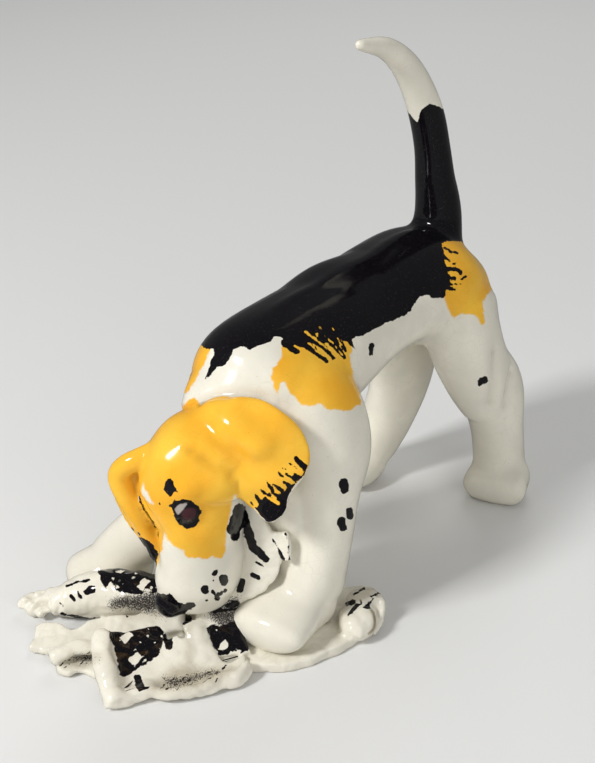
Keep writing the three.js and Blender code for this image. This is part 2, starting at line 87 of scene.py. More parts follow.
# The skirt and the lid that close a cut piece go this deep into the clay
SKIRT_DEPTH = 0.7
DOG_LID_DEPTH = 6
PAPER_LID_DEPTH = 0.5

# Head: the middle of the skull and the way it faces
SKULL = np.array((-1.0, -50.0, 58.0))
HEAD_TURN = math.radians(12)
AHEAD = np.array((-math.sin(HEAD_TURN), -math.cos(HEAD_TURN), 0))
LEFTWARD = np.array((math.cos(HEAD_TURN), -math.sin(HEAD_TURN), 0))
UPWARD = np.array((0.0, 0.0, 1.0))

SHEET_THICKNESS = 3

# Waves of a leaf's torn edge and of its ruffles: how many to a millimetre, and how strong
TEAR_WAVES = ((0.45, 1), (1.3, 0.6))
RUFFLE_WAVES = ((0.22, 1), (0.6, 0.4))


def in_picture(points):
    """Where points of the dog's frame lie in the photograph, in pixels."""
    offset = np.atleast_2d(points) - CAMERA_SPOT
    depth = offset @ -TOWARDS_CAMERA
    across = FOCAL_PIXELS * (offset @ CAMERA_RIGHT) / depth
    down = -FOCAL_PIXELS * (offset @ CAMERA_UP) / depth
    return np.stack((across, down), axis=1) + PICTURE / 2


def ray_through(pixel):
    """The direction from the camera through a pixel of the photograph."""
    across, down = np.array(pixel) - PICTURE / 2
    direction = -TOWARDS_CAMERA * FOCAL_PIXELS + CAMERA_RIGHT * across - CAMERA_UP * down
    return direction / np.linalg.norm(direction)


def at_height(across, down, height):
    """The point under a pixel of the photograph at a height over the table."""
    direction = ray_through((across, down))
    return CAMERA_SPOT + direction * (height - CAMERA_SPOT[2]) / direction[2]


def seen_section(across, down, height, width, depth):
    """A section of a loft whose middle shows at a pixel of the photograph."""
    return (*at_height(across, down, height), width, depth)


def filled_between(rows, steps):
    """A Catmull-Rom curve through rows of numbers, with so many steps to each span."""
    rows = np.array(rows, float)
    ends = np.vstack((2 * rows[0] - rows[1], rows, 2 * rows[-1] - rows[-2]))
    filled = []
    for a, b, c, d in zip(ends, ends[1:], ends[2:], ends[3:]):
        for t in np.arange(steps) / steps:
            bend = (2 * a - 5 * b + 4 * c - d) * t * t
            twist = (3 * b - a - 3 * c + d) * t ** 3
            filled.append((2 * b + (c - a) * t + bend + twist) / 2)
    filled.append(rows[-1])
    return np.array(filled)


def add_object(name, data):
    made = bpy.data.objects.new(name, data)
    scene.collection.objects.link(made)
    return made


def mesh_of(form, name):
    """Turns a form into a mesh, and frees the form."""
    mesh = bpy.data.meshes.new(name)
    form.to_mesh(mesh)
    form.free()
    return mesh


def ring_place(middle, along, across, width, depth):
    """Lays a ring of diameter 1 square to a direction, with its width lying across."""
    forward = Vector(along).normalized()
    side = Vector(across)
    side = (side - forward * side.dot(forward)).normalized()
    upright = forward.cross(side)
    turned = Matrix((side, upright, forward)).transposed().to_4x4()
    return Matrix.Translation(middle) @ turned @ Matrix.Diagonal((width, depth, 1, 1))


def loft(form, sections, across=(1, 0, 0), sides=24, steps=5, domes=(4, 4), squareness=1):
    """Adds a closed tube with domed ends: sections are (x, y, z, width, depth) on its middle line."""
    rows = filled_between(sections, steps)
    along = np.gradient(rows[:, :3], axis=0)
    along /= np.linalg.norm(along, axis=1)[:, None]
    dome_angles = np.radians((84, 66, 48, 30, 14))
    places = []
    for angle in dome_angles:
        middle = rows[0, :3] - along[0] * domes[0] * math.sin(angle)
        places.append((middle, along[0], *(rows[0, 3:] * math.cos(angle))))
    for row, direction in zip(rows, along):
        places.append((row[:3], direction, *row[3:]))
    for angle in dome_angles[::-1]:
        middle = rows[-1, :3] + along[-1] * domes[1] * math.sin(angle)
        places.append((middle, along[-1], *(rows[-1, 3:] * math.cos(angle))))
    placed = [ring_place(middle, way, across, wide, deep) for middle, way, wide, deep in places]
    ring = bmesh.ops.create_circle(form, cap_ends=True, segments=sides, radius=0.5)["verts"]
    for vertex in ring:
        reach = max(abs(vertex.co.x), abs(vertex.co.y)) / 0.5
        vertex.co *= 1 + (1 / reach - 1) * (1 - 1 / squareness) * 0.6
    edges = list({edge for vertex in ring for edge in vertex.link_edges})
    bmesh.ops.transform(form, matrix=placed[0], verts=ring)
    for before, after in zip(placed, placed[1:]):
        grown = bmesh.ops.extrude_edge_only(form, edges=edges)["geom"]
        ring = [part for part in grown if isinstance(part, bmesh.types.BMVert)]
        edges = [
            part
            for part in grown
            if isinstance(part, bmesh.types.BMEdge) and all(end in ring for end in part.verts)
        ]
        bmesh.ops.transform(form, matrix=after @ before.inverted(), verts=ring)
    bmesh.ops.holes_fill(form, edges=edges, sides=sides)


def along_line(line, share):
    """The point at a share of a line of evenly numbered points."""
    place = share * (len(line) - 1)
    first = min(int(place), len(line) - 2)
    return Vector(line[first]).lerp(Vector(line[first + 1]), place - first)


def layered_noise(spot, waves):
    return sum(strength * noise.noise(spot * rate) for rate, strength in waves)


def leaf(form, near, far, thickness, bow=(0, 0, 0), torn=0.0, ruffle=0.0, rows=48, columns=14):
    """Adds a sheet between two edges, each a list of (pixel across, pixel down, height)."""
    near_line = filled_between([at_height(*spot) for spot in near], 8)
    far_line = filled_between([at_height(*spot) for spot in far], 8)
    sheet = bmesh.ops.create_grid(form, x_segments=columns, y_segments=rows, size=0.5)["verts"]
    for vertex in sheet:
        across, along = vertex.co.x + 0.5, vertex.co.y + 0.5
        start, end = along_line(near_line, along), along_line(far_line, along)
        start = start + (start - end).normalized() * layered_noise(start, TEAR_WAVES) * torn
        spot = start.lerp(end, across) + Vector(bow) * 4 * across * (1 - across)
        vertex.co = spot + Vector(UPWARD) * layered_noise(spot, RUFFLE_WAVES) * ruffle
    faces = list({face for vertex in sheet for face in vertex.link_faces})
    bmesh.ops.recalc_face_normals(form, faces=faces)
    form.normal_update()
    if sum(face.normal @ Vector(TOWARDS_CAMERA) for face in faces) < 0:
        bmesh.ops.reverse_faces(form, faces=faces)
    bmesh.ops.solidify(form, geom=faces, thickness=thickness)


def segment_distances(points, path):
    """For each point, its distance to the nearest span of a path and how far along the path that is."""
    nearest = np.full(len(points), 1e9)
    share = np.zeros(len(points))
    spans = len(path) - 1
    for number, (start, end) in enumerate(zip(path, path[1:])):
        span = end - start
        along = np.clip((points - start) @ span / max(span @ span, 1e-12), 0, 1)
        distance = np.linalg.norm(points - start - along[:, None] * span, axis=1)
        closer = distance < nearest
        nearest[closer] = distance[closer]
        share[closer] = (number + along[closer]) / spans
    return nearest, share


def inside_outline(points, outline):
    """The distance of flat points to a smooth closed outline, positive inside."""
    outline = np.array(outline, float)
    ring = np.vstack((outline[-1:], outline, outline[:2]))
    closed = filled_between(ring, 4)[4:-4]
    distance, _ = segment_distances(points, closed)
    inside = np.zeros(len(points), bool)
    for (x0, y0), (x1, y1) in zip(closed, closed[1:]):
        if y0 == y1:
            continue
        crosses = (points[:, 1] > min(y0, y1)) & (points[:, 1] <= max(y0, y1))
        at = x0 + (points[:, 1] - y0) * (x1 - x0) / (y1 - y0)
        inside ^= crosses & (points[:, 0] < at)
    return np.where(inside, distance, -distance)


def smooth_step(low, high, values):
    share = np.clip((values - low) / (high - low), 0, 1)
    return share * share * (3 - 2 * share)


# The paints that a surface carries, each as the distance inside its edge in millimetres
PAINTS = ("yellow", "black", "brown", "grey", "print", "speckle")
FAR_INSIDE = 20.0
FAR_OUTSIDE = -20.0


def only_where(chosen):
    """A limit that keeps a paint to the chosen points."""
    return np.where(chosen, FAR_INSIDE, FAR_OUTSIDE)


class Skin:
    """A melted surface in the dog's millimetres, with the paint that it carries."""

    def __init__(self, name, forms, grain):
        self.names = list(forms)
        self.solids = []
        joined = bmesh.new()
        for form in forms.values():
            bmesh.ops.recalc_face_normals(form, faces=form.faces[:])
            self.solids.append(BVHTree.FromBMesh(form))
            lump = mesh_of(form, "lump")
            joined.from_mesh(lump)
            bpy.data.meshes.remove(lump)
        lump = add_object(name, mesh_of(joined, name))
        melt = lump.modifiers.new("Melt", "REMESH")
        melt.mode = "VOXEL"
        melt.voxel_size = grain
        graph = bpy.context.evaluated_depsgraph_get()
        self.mesh = bpy.data.meshes.new_from_object(lump.evaluated_get(graph), depsgraph=graph)
        bpy.data.objects.remove(lump)
        self.points = self.read("co").astype(float)
        self.edges = np.empty(len(self.mesh.edges) * 2, np.int32)
        self.mesh.edges.foreach_get("vertices", self.edges)
        self.edges = self.edges.reshape(-1, 2)
        self.neighbours = np.bincount(self.edges.ravel(), minlength=len(self.points))[:, None]
        self.paint = {name: np.full(len(self.points), FAR_OUTSIDE) for name in PAINTS}
        self.touch_tree = None

    def read(self, field):
        values = np.empty(len(self.mesh.vertices) * 3, np.float32)
        self.mesh.vertices.foreach_get(field, values)
        return values.reshape(-1, 3)

    def settle(self):
        """Writes the moved points back and reads the way that each one faces."""
        self.mesh.vertices.foreach_set("co", self.points.astype(np.float32).ravel())
        self.mesh.update()
        facing = np.empty(len(self.points) * 3, np.float32)
        self.mesh.vertex_normals.foreach_get("vector", facing)
        self.facing = facing.reshape(-1, 3).astype(float)

    def mean_of_neighbours(self, values):
        total = np.zeros_like(values)
        first, second = self.edges.T
        for column in range(values.shape[1]):
            total[:, column] += np.bincount(first, values[second, column], len(values))
            total[:, column] += np.bincount(second, values[first, column], len(values))
        return total / self.neighbours

    def relax(self, rounds, amount=0.5):
        """Evens the surface out, by the same amount everywhere or by one for each point."""
        share = np.broadcast_to(amount, len(self.points))[:, None]
        for _ in range(rounds):
            self.points += share * (self.mean_of_neighbours(self.points) - self.points)

    def label(self):
        """Finds which piece of clay each point came from."""
        away = np.full((len(self.points), len(self.names)), CLAY_REACH)
        for column, solid in enumerate(self.solids):
            for index, point in enumerate(self.points):
                distance = solid.find_nearest(point, CLAY_REACH)[3]
                if distance is not None:
                    away[index, column] = distance
        for _ in range(4):
            away = (away + self.mean_of_neighbours(away)) / 2
        self.away = away
        self.owner = away.argmin(axis=1)

    def belongs_to(self, *names):
        return np.isin(self.owner, [self.names.index(name) for name in names])

    def within(self, *names):
        """The distance to the other pieces' share of the surface, positive on the named ones."""
        chosen = [name in names for name in self.names]
        own = self.away[:, chosen].min(axis=1)
        return (self.away[:, np.logical_not(chosen)].min(axis=1) - own) / 2

    def seam(self, name, other):
        """The distance to the line where two pieces meet."""
        first, second = self.away[:, self.names.index(name)], self.away[:, self.names.index(other)]
        return np.abs(first - second) / 2 + np.minimum(first, second)

    def tree(self):
        self.settle()
        return BVHTree.FromPolygons(
            [vertex.co for vertex in self.mesh.vertices],
            [face.vertices for face in self.mesh.polygons],
        )

    def touch(self, *pixels):
        """The points of the surface that lie under pixels of the photograph."""
        if self.touch_tree is None:
            self.touch_tree = self.tree()
        found = [self.touch_tree.ray_cast(CAMERA_SPOT, ray_through(pixel))[0] for pixel in pixels]
        return np.array([spot for spot in found if spot is not None])

    def swell(self, centre, radius, height, where=None):
        """Pushes the surface out, or in, in a soft mound."""
        gone = np.linalg.norm(self.points - np.array(centre), axis=1) / radius
        lift = height * np.clip(1 - gone * gone, 0, 1) ** 2
        if where is not None:
            lift *= where
        self.points += self.facing * lift[:, None]

    def crease(self, path, width, depth, where=None):
        """Presses a soft groove along a path, or raises a ridge if the depth is negative."""
        gone, share = segment_distances(self.points, filled_between(path, 6))
        ends = smooth_step(0, 0.15, share) * smooth_step(0, 0.15, 1 - share)
        press = depth * np.exp(-((gone / width) ** 2)) * (0.25 + 0.75 * ends)
        if where is not None:
            press *= where
        self.points -= self.facing * press[:, None]

    def crumple(self, size, height, where=1):
        """Folds the surface in soft facets."""
        folds = np.array([abs(noise.noise(Vector(point / size))) for point in self.points])
        self.points += self.facing * ((folds - 0.2) * height * where)[:, None]

    def cover(self, name, distance, *limits):
        """Adds a patch to a paint. Distances are in millimetres and positive inside."""
        for limit in limits:
            distance = np.minimum(distance, limit)
        self.paint[name] = np.maximum(self.paint[name], distance)

    def scrape(self, name, distance, *limits):
        """Takes a patch away from a paint."""
        for limit in limits:
            distance = np.minimum(distance, limit)
        self.paint[name] = np.minimum(self.paint[name], -distance)


# The dog's forms, as sections (x, y, z, width, depth). The foreleg's web, the right ear's fold and
# the paper's rolls are placed by the photograph: (pixel across, pixel down, height, width, depth).
BODY = [
    (0, -43, 60, 23, 24), (0, -36, 62.5, 32, 35), (0, -27, 65.5, 40, 44), (0, -6, 70.5, 39, 37),
    (0, 14, 73.5, 37, 30), (0, 32, 75, 38, 31), (0, 48, 72.5, 42, 36), (0, 61, 68, 37, 28.6),
]
TAIL = [
    (0, 56, 76, 20, 20), (0, 58.9, 89.8, 15.5, 15), (0, 58.2, 97, 13.8, 13.8),
    (0, 56.2, 104.4, 12.1, 12.1), (0, 53.9, 114.3, 10.8, 10.8), (0, 50, 124.9, 10.4, 10.4),
    (0, 43.8, 134.8, 9.3, 9.3), (0, 36.4, 142.6, 8, 8), (0, 27.6, 147.9, 6.2, 6.2),
    (0, 17, 150.5, 3.6, 3.6),
]
LEFT_FORELEG = [
    (8, -24, 73.4, 20, 22.4), (15.5, -23, 65.5, 20, 28), (20, -22, 53.7, 20, 26.6),
    (21, -25, 42, 17.5, 21), (21, -27, 30, 17.5, 18), (20, -30, 14, 17.5, 21),
]
LEFT_FOREPAW = [(19, -28, 9.2, 18.4, 17), (17, -37, 9.2, 23, 17), (18, -47, 7.9, 23, 12.75)]
RIGHT_FORELEG = [
    (-11, -24, 65.5, 20, 28), (-14.5, -24.5, 51.4, 18, 22), (-20.5, -30.4, 35.4, 15, 17.4),
    (-26.2, -37.2, 23, 18.6, 15), (-34.2, -44, 13.8, 18, 16), (-39.5, -49, 8, 16.5, 13),
]
FORELEG_WEB = [
    (284, 495, 43.4, 11, 4.5), (281, 516, 37.4, 13, 4.5), (284, 536, 30.2, 10, 4.5),
    (288, 557, 24.4, 9, 4.5), (294, 576, 19, 7, 4),
]
RIGHT_FOREPAW = [(-34.6, -42.6, 5.6, 17, 12), (-40, -49, 5.8, 19.6, 12.4), (-45, -55, 4.4, 16.5, 9)]
LEFT_HIND_LEG = [
    (13.6, 52, 68.6, 19, 31), (16.4, 51.4, 58, 20, 28), (19.2, 55, 47, 18.6, 25.2),
    (21.5, 62.2, 36, 17.5, 24.8), (23, 64, 24, 16.5, 18), (23.5, 66, 11.7, 16.5, 18),
]
LEFT_HIND_PAW = [
    (24.5, 68, 6.4, 18.5, 13), (25.4, 63, 6, 20, 13.4), (26.2, 59.6, 5.8, 21, 12.8),
    (26.7, 57.8, 5.4, 20.6, 11.8),
]
RIGHT_HIND_LEG = [
    (-11, 50, 71, 19, 29.5), (-11, 55, 56, 20, 31), (-10.5, 58, 42, 20, 27.9),
    (-11, 58, 32, 17.5, 25), (-13, 54, 20, 16.5, 19.8), (-15.5, 49, 11, 16.5, 18),
]
RIGHT_HIND_PAW = [
    (-16.5, 47, 6.6, 17.6, 13), (-17, 42, 5.8, 19.5, 13), (-18, 38, 5.5, 19.5, 11.7),
]


def on_head(left, ahead, up):
    """A point of the head, from the middle of the skull."""
    return SKULL + LEFTWARD * left + AHEAD * ahead + UPWARD * up


def head_section(left, ahead, up, width, depth):
    return (*on_head(left, ahead, up), width, depth)


HEAD = [
    head_section(2, -6, 4.5, 21, 16), head_section(0.4, -1.2, -1, 27, 27.4),
    head_section(-0.8, 2.4, -10, 26.4, 29.8), head_section(1.8, 1.7, -18, 20, 25.6),
    head_section(1.9, 2, -24, 17.4, 25), head_section(1.8, 2, -31.5, 18.4, 24.8),
    head_section(0.6, 2.5, -37, 20.4, 25.4), head_section(0, 3, -42, 18, 22),
]
NOSE = [head_section(0, 9, -42, 12, 8), head_section(0, 13.4, -43, 8.5, 6.5)]
CROWN = [
    head_section(-3, -6, 5.2, 13, 11), head_section(3.5, -6.5, 9, 15, 12.6),
    head_section(9, -8, 9, 16.5, 11), head_section(15, -10.5, 6.6, 15, 7.6),
]

# The ears' edges, as (pixel across, pixel down, height)
LEFT_EAR_INNER = [
    (214, 412, 70), (216, 438, 63.5), (224, 466, 57.5), (236, 490, 51.5), (247, 506, 47),
    (262, 525, 44),
]
LEFT_EAR_OUTER = [
    (236, 392, 75.5), (262, 397, 74.5), (287, 413, 71.5), (304, 432, 67), (311.5, 455, 61.5),
    (307, 475, 57), (296, 490, 52), (291, 500, 49.5), (290, 512, 47), (284, 521, 45),
]
RIGHT_EAR_OUTER = [
    (156, 443, 60.5), (137, 449, 58.5), (121, 457, 55.5), (112, 467, 52.5), (110, 482, 48),
    (113, 499, 43), (121, 516, 37.5), (128, 528, 34), (136.5, 538.5, 31), (144.5, 549, 28.5),
    (154.5, 561.5, 25),
]
RIGHT_EAR_INNER = [
    (172, 444, 60), (152, 462, 56.5), (141, 482, 50.5), (147, 505, 43.5), (157, 535, 35),
    (160, 558, 27),
]
RIGHT_EAR_FOLD = [
    (158, 446, 60, 4, 4), (139, 458, 57.5, 5.5, 5.5), (126, 465, 55.5, 5.8, 5.8),
    (118.5, 474, 52.5, 5.8, 5.8), (120, 485, 49.5, 5.6, 5.6), (126, 498, 46, 5.2, 5.2),
    (134, 512, 42, 4.8, 4.8), (144, 529, 36.5, 4.4, 4.4), (152, 544, 31.5, 4, 4),
    (156, 556, 27.5, 3.4, 3.4),
]


def dog_forms():
    """The dog as overlapping lofts of clay, one lump for each piece."""
    forms = {name: bmesh.new() for name in (
        "torso", "head", "left_ear", "right_ear", "tail", "left_foreleg", "right_foreleg",
        "left_hind_leg", "right_hind_leg",
    )}
    loft(forms["torso"], BODY, domes=(5, 8), sides=36)
    loft(forms["tail"], TAIL, domes=(4, 3))
    loft(forms["left_foreleg"], LEFT_FORELEG)
    loft(forms["left_foreleg"], LEFT_FOREPAW, domes=(5, 5))
    loft(forms["left_foreleg"], [seen_section(*section) for section in FORELEG_WEB])
    loft(forms["right_foreleg"], RIGHT_FORELEG, across=(1, -0.4, 0))
    loft(forms["right_foreleg"], RIGHT_FOREPAW, across=(1, -0.8, 0), domes=(5, 5))
    loft(forms["left_hind_leg"], LEFT_HIND_LEG)
    loft(forms["left_hind_leg"], LEFT_HIND_PAW, across=(1, 0.36, 0), domes=(5, 3.5), squareness=2)
    loft(forms["right_hind_leg"], RIGHT_HIND_LEG)
    loft(forms["right_hind_leg"], RIGHT_HIND_PAW, across=(1, -0.15, 0), domes=(5, 5))
    loft(forms["head"], HEAD, across=LEFTWARD, sides=32, domes=(6, 5))
    loft(forms["head"], NOSE, across=LEFTWARD, domes=(2, 2))
    loft(forms["head"], CROWN, across=AHEAD, domes=(4, 4))
    leaf(forms["left_ear"], LEFT_EAR_INNER, LEFT_EAR_OUTER, 4.2, bow=TOWARDS_CAMERA * 2.2)
    leaf(forms["right_ear"], RIGHT_EAR_OUTER, RIGHT_EAR_INNER, 4)
    fold = [seen_section(*section) for section in RIGHT_EAR_FOLD]
    loft(forms["right_ear"], fold, domes=(1.5, 1.5))
    return forms


# Places where limbs are smoothed into the body: the point, and how far round it the slip reaches
LUTED_JOINTS = [
    ((0, 57, 86), 18), ((12, -22, 72), 24), ((-12, -22, 70), 24), ((12, 48, 76), 26),
    ((-12, 50, 74), 26), ((18, 42, 52), 18), ((-12, 44, 52), 18), ((16, -12, 54), 16),
    ((-16, -14, 54), 16), ((19, -32, 12), 16), ((-37, -46, 12), 18), ((24, 65, 10), 14),
    ((-16, 47, 10), 14), ((0, -42, 58), 16), ((3, -46, 68), 14), ((12, -48, 64), 12),
    ((17, 65, 63), 15), ((21, -48, 48), 7), ((14.5, -44, 66), 9),
    ((11.7, -58.4, 69), 11), ((18.3, -48.3, 66), 10),
]


def model_dog():
    """The dog's melted skin, with its carved details."""
    skin = Skin("dog", dog_forms(), SKIN_GRAIN)
    fineness = (FINISHED_SKIN_GRAIN / SKIN_GRAIN) ** 2
    melting = np.zeros(len(skin.points))
    for spot, reach in LUTED_JOINTS:
        gone = np.linalg.norm(skin.points - np.array(spot), axis=1) / reach
        melting = np.maximum(melting, np.clip(1.3 * (1 - gone), 0, 1))
    skin.relax(int(60 * fineness), 0.6 * melting)
    skin.relax(int(10 * fineness) + 2)
    skin.label()
    skin.settle()
    carve_face(skin)
    carve_body(skin)
    skin.relax(int(3 * fineness))
    stand_flat(skin)
    skin.settle()
    return skin


# Details of the face. A fill is a pixel of the photograph, a radius and a height.
EYE = (187, 514)
EYE_RADIUS = 4.2
EAR_CREASE = [(182, 452), (195, 450), (206, 457), (216, 464.5), (228, 470), (236, 480)]
NECK_CREASE = [
    (186, 408.5), (193, 405), (200, 402), (208, 398.5), (217, 395.5), (228, 394), (245, 393.5),
    (262, 396), (278, 403.5),
]
EAR_LIP = [(196, 441), (207, 445), (217, 453), (228, 460), (240, 467)]
EAR_FILLS = [
    ((268, 447), 10, 1.2), ((226, 475), 7, 0.9), ((188, 448), 5, 0.6), ((236, 488), 8, 1.3),
    ((204, 407), 8, 0.8),
]
# A groove is pressed along the gap between the right ear and the head, and a black line of painted
# shadow is laid in it
RIGHT_EAR_GAP = [(137, 492), (141, 502), (144.5, 510), (150, 518.5), (157.5, 530), (159.5, 543)]


def carve_face(skin):
    """Eyeballs in shallow sockets, brows, the stop, the nose leather and the fold at the ear's root."""
    face = skin.belongs_to("head")
    eye = skin.touch(EYE)[0]
    crease = skin.touch(*EAR_CREASE)
    lip = skin.touch(*EAR_LIP)
    neck = skin.touch(*NECK_CREASE)
    gap = skin.touch(*RIGHT_EAR_GAP)
    cap = skin.belongs_to("head", "left_ear")
    fills = [skin.touch(pixel)[0] for pixel, _, _ in EAR_FILLS]
    skin.swell(on_head(0, 15, -14), radius=9, height=-1.2, where=face)
    skin.swell(on_head(0, 13, 2), radius=9, height=0.8, where=face)
    for centre in (eye, mirror_on_head(eye)):
        skin.swell(centre, radius=8, height=-0.9, where=face)
        skin.swell(centre + UPWARD * 6.5, radius=5, height=0.7, where=face)
        skin.settle()
        skin.swell(centre, radius=EYE_RADIUS * 1.15, height=1.7, where=face)
    skin.settle()
    skin.swell(on_head(0, 15, -42), radius=5.5, height=0.5, where=face)
    skin.crease(neck, width=1.3, depth=1.0)
    skin.crease(lip, width=3.2, depth=-0.5)
    skin.crease(crease, width=1.9, depth=1.4)
    skin.crease(gap, width=0.9, depth=0.9)
    for (pixel, radius, height), centre in zip(EAR_FILLS, fills):
        skin.swell(centre, radius, height, cap)
    skin.settle()


def mirror_on_head(spot):
    return spot - LEFTWARD * 2 * ((spot - SKULL) @ LEFTWARD)


# Details of the body. A hump is a pixel of the photograph, a radius and a height.
SPINE = [(440, 228), (402, 236), (364, 262), (343, 274), (323, 284), (298, 296), (262, 318)]
BACK_HUMPS = [((324, 271), 17, 2.3), ((191, 399), 10, 1.8)]
THIGH_GROOVES = [
    [(496, 346), (496, 356), (495, 378), (492.5, 398), (488, 412)],
    [(513, 366), (511, 380), (508.5, 396), (505, 414)],
]
FLANK_NOTCH = [(398, 362), (403, 351), (410, 347)]


def carve_body(skin):
    """The ridge of the spine and the grooves of the muscles."""
    body = skin.belongs_to("torso", "tail")
    for pixel, radius, height in BACK_HUMPS:
        skin.swell(skin.touch(pixel)[0], radius, height, body)
    skin.settle()
    skin.crease(skin.touch(*SPINE), width=2.4, depth=-0.8, where=body)
    for groove in THIGH_GROOVES:
        skin.crease(skin.touch(*groove), width=2.0, depth=1.3)
    skin.crease(skin.touch(*FLANK_NOTCH), width=1.6, depth=0.6)
    skin.settle()


def stand_flat(skin):
    """Flattens the soles on the table, and the left forepaw's on the sheet."""
    low = np.where(skin.belongs_to("left_foreleg"), SHEET_THICKNESS + 0.1, 0.0)
    skin.points[:, 2] = np.maximum(skin.points[:, 2], low)


# The dog's paint, in pixels of the photograph. An outline is a smooth closed curve. A fringe, slits
# and spots are brush marks: the width at both ends, then the pixels that the mark goes through.
SADDLE = [
    (150, 290), (190, 335), (205, 348), (214, 350), (208, 370), (204.5, 380), (209, 376),
    (218, 367), (222, 366), (228, 361), (235, 349), (245, 347), (250, 349), (257, 346), (270, 342),
    (272, 339), (277, 336), (282, 338), (284, 344), (289, 348), (297, 344), (305, 343), (318, 344),
    (330, 342), (340, 340), (348, 342), (355, 337), (364, 335), (380, 326), (391, 321), (408, 313),
    (416, 302), (422, 296), (429, 295), (432, 298), (443, 298), (445.5, 295), (445, 291.5),
    (448.7, 287.7), (450, 282.3), (448, 274.7), (445.7, 264), (444, 251.7), (442.6, 243),
    (452, 241), (466, 241), (480, 232), (480, 150), (395, 150), (390, 190), (300, 230), (220, 270),
]
SHOULDER_FRINGE = [
    (8, 5.5, (285, 342), (291, 348), (297, 352)),
    (9, 4, (299, 342), (311, 347), (317, 353), (326.6, 360.6)),
    (6.5, 3, (316, 341), (325.4, 349), (334, 358.2)),
    (9, 4, (325, 334), (336.3, 346.7), (344.2, 357.6)),
    (6, 3, (337, 338), (346, 350.3)),
    (5.5, 2, (348, 338), (354.5, 349.1)),
]
SHOULDER_SLITS = [
    (1.8, 2.2, (306, 332), (317, 340.6), (327.8, 348.5)),
    (1.4, 1.4, (308.4, 343), (314.5, 348)),
    (1.8, 1.6, (315.7, 350.3), (327.8, 357.6)),
    (1.2, 1.2, (316.9, 333.3), (318, 337)),
    (1.6, 1.2, (319.3, 327.3), (321.2, 329.7)),
    (1.2, 1.4, (324.2, 335.8), (332.7, 343)),
    (1.0, 0.9, (332.7, 343), (342.4, 355.1)),
    (1.3, 1.3, (337.5, 338.2), (343.6, 348)),
    (1.2, 1.2, (331.5, 327.3), (333.3, 329.7)),
    (1.8, 1.8, (323, 344.2), (327.2, 349.7)),
    (1.4, 1.4, (331, 348), (334.5, 355)),
]
SHOULDER_PATCH = [
    (284, 343), (281, 358), (273.5, 368), (272, 376), (274.5, 388), (278, 394), (280.5, 384),
    (285, 382), (289, 390), (296, 397.5), (300, 403.5), (311, 406), (319, 403.5), (325.5, 408),
    (335, 410), (348, 410.5), (356, 406), (361, 404), (360, 394), (354, 378), (350, 357),
    (352.5, 349), (348, 326), (320, 324), (300, 328),
]
FAR_SHOULDER_PATCH = [
    (210, 349), (207, 357), (203, 366), (196.5, 378), (189, 390), (184, 392), (182, 375), (198, 345),
]
NAPE_PATCH = [(172, 424), (183, 407), (190, 399.5), (195, 399), (199, 403), (196, 412), (180, 426)]
RUMP_PATCH = [
    (436, 234), (448, 233), (462, 236), (470, 250), (484, 262), (496, 280), (492, 289), (486, 297),
    (483, 303), (484, 314), (484.5, 323), (481.5, 325), (477.8, 318.3), (474, 315), (463, 313.5),
    (458.7, 315), (454.8, 318.5), (451, 314.5), (448.7, 309), (445, 301), (442, 292), (430, 280),
]
RUMP_FRINGE = [
    (2.4, 1.6, (444, 248), (448.7, 249.8)),
    (3.4, 3, (450.2, 251.7), (457, 253)),
    (3.6, 2, (445.5, 257.8), (450.2, 261)),
    (1.6, 1.4, (453.3, 264), (457, 262.4)),
    (4.6, 3, (447, 268.5), (455.6, 269), (460.2, 271.3), (460.6, 273.5)),
    (6, 3.6, (447, 277), (454, 278.5)),
    (1.8, 2.6, (461.7, 279.3), (465.6, 276.4)),
    (1.4, 1.2, (450, 284.6), (462.5, 284)),
    (4.4, 2.6, (448, 288), (454.6, 289.4)),
]
BODY_SPOTS = [
    (5, 4.4, (371.4, 345.5), (371.2, 353.5)),
    (7, 6, (480.2, 382.6), (485, 379.5)),
    (9.5, 9, (343.4, 482.5), (344.6, 489.5)),
    (7, 6.6, (349.4, 510.5), (350, 516)),
    (8.6, 8, (341.4, 520.5), (342.4, 527.5)),
]
TAIL_SLEEVE = [
    (385, 112), (404, 109), (409, 113), (413, 117), (417.5, 122), (420, 113), (425, 106.5),
    (431, 104), (437, 106), (446, 109), (480, 110), (480, 250), (380, 250),
]
FACE_MASK = [
    (150, 380), (112, 430), (118, 480), (134, 502), (148, 528), (152, 549), (160.5, 553),
    (162.6, 546), (163.4, 539), (164, 533), (165.8, 536), (169.6, 541), (176, 547.2), (182.4, 551),
    (186.2, 554.8), (189.4, 558.6), (197, 557.6), (205, 559), (213, 556.8), (219, 558.4), (224.3, 554),
    (226, 537.5), (227.6, 526), (231, 509.5), (233.4, 498), (236, 493), (260, 470), (300, 440),
    (300, 380),
]
BLAZE = [(143.5, 483), (141.4, 491), (145.6, 499.4), (153, 504.8), (148.4, 494.4), (145, 487.8)]
BROW_SPOT = [
    (168.7, 478.8), (172.2, 480.5), (173.6, 485), (176.4, 488.3), (178, 493), (174.4, 492.3),
    (172, 494.4), (169.6, 497), (166.6, 493.4), (164, 490.2), (164, 487.2), (165.3, 482.6),
]
EYE_RING = [
    (169, 505.4), (171.4, 503.4), (174.2, 499.6), (177, 501), (182.7, 499), (188.8, 500),
    (193.9, 503), (199, 507), (201.6, 511), (202.2, 514), (199.2, 516), (199.4, 520), (198.3, 523),
    (194, 527), (190, 528.4), (186.4, 529.4), (184.2, 527.6), (182.6, 525.6), (179.2, 525),
    (177.6, 522.6), (176, 519.7), (173.8, 514.6), (171.8, 509),
]
EYE_CORNER = [
    (175, 509), (176.6, 506.2), (179.8, 504.2), (184, 503.4), (188, 502.6), (185.4, 507.4),
    (182, 510.8), (178.6, 514.4), (176, 512.8),
]
IRIS = [
    (181.5, 514), (184, 509.8), (189, 507.6), (194.4, 508.4), (196, 512.4), (194.4, 517), (189, 521),
    (184, 519),
]
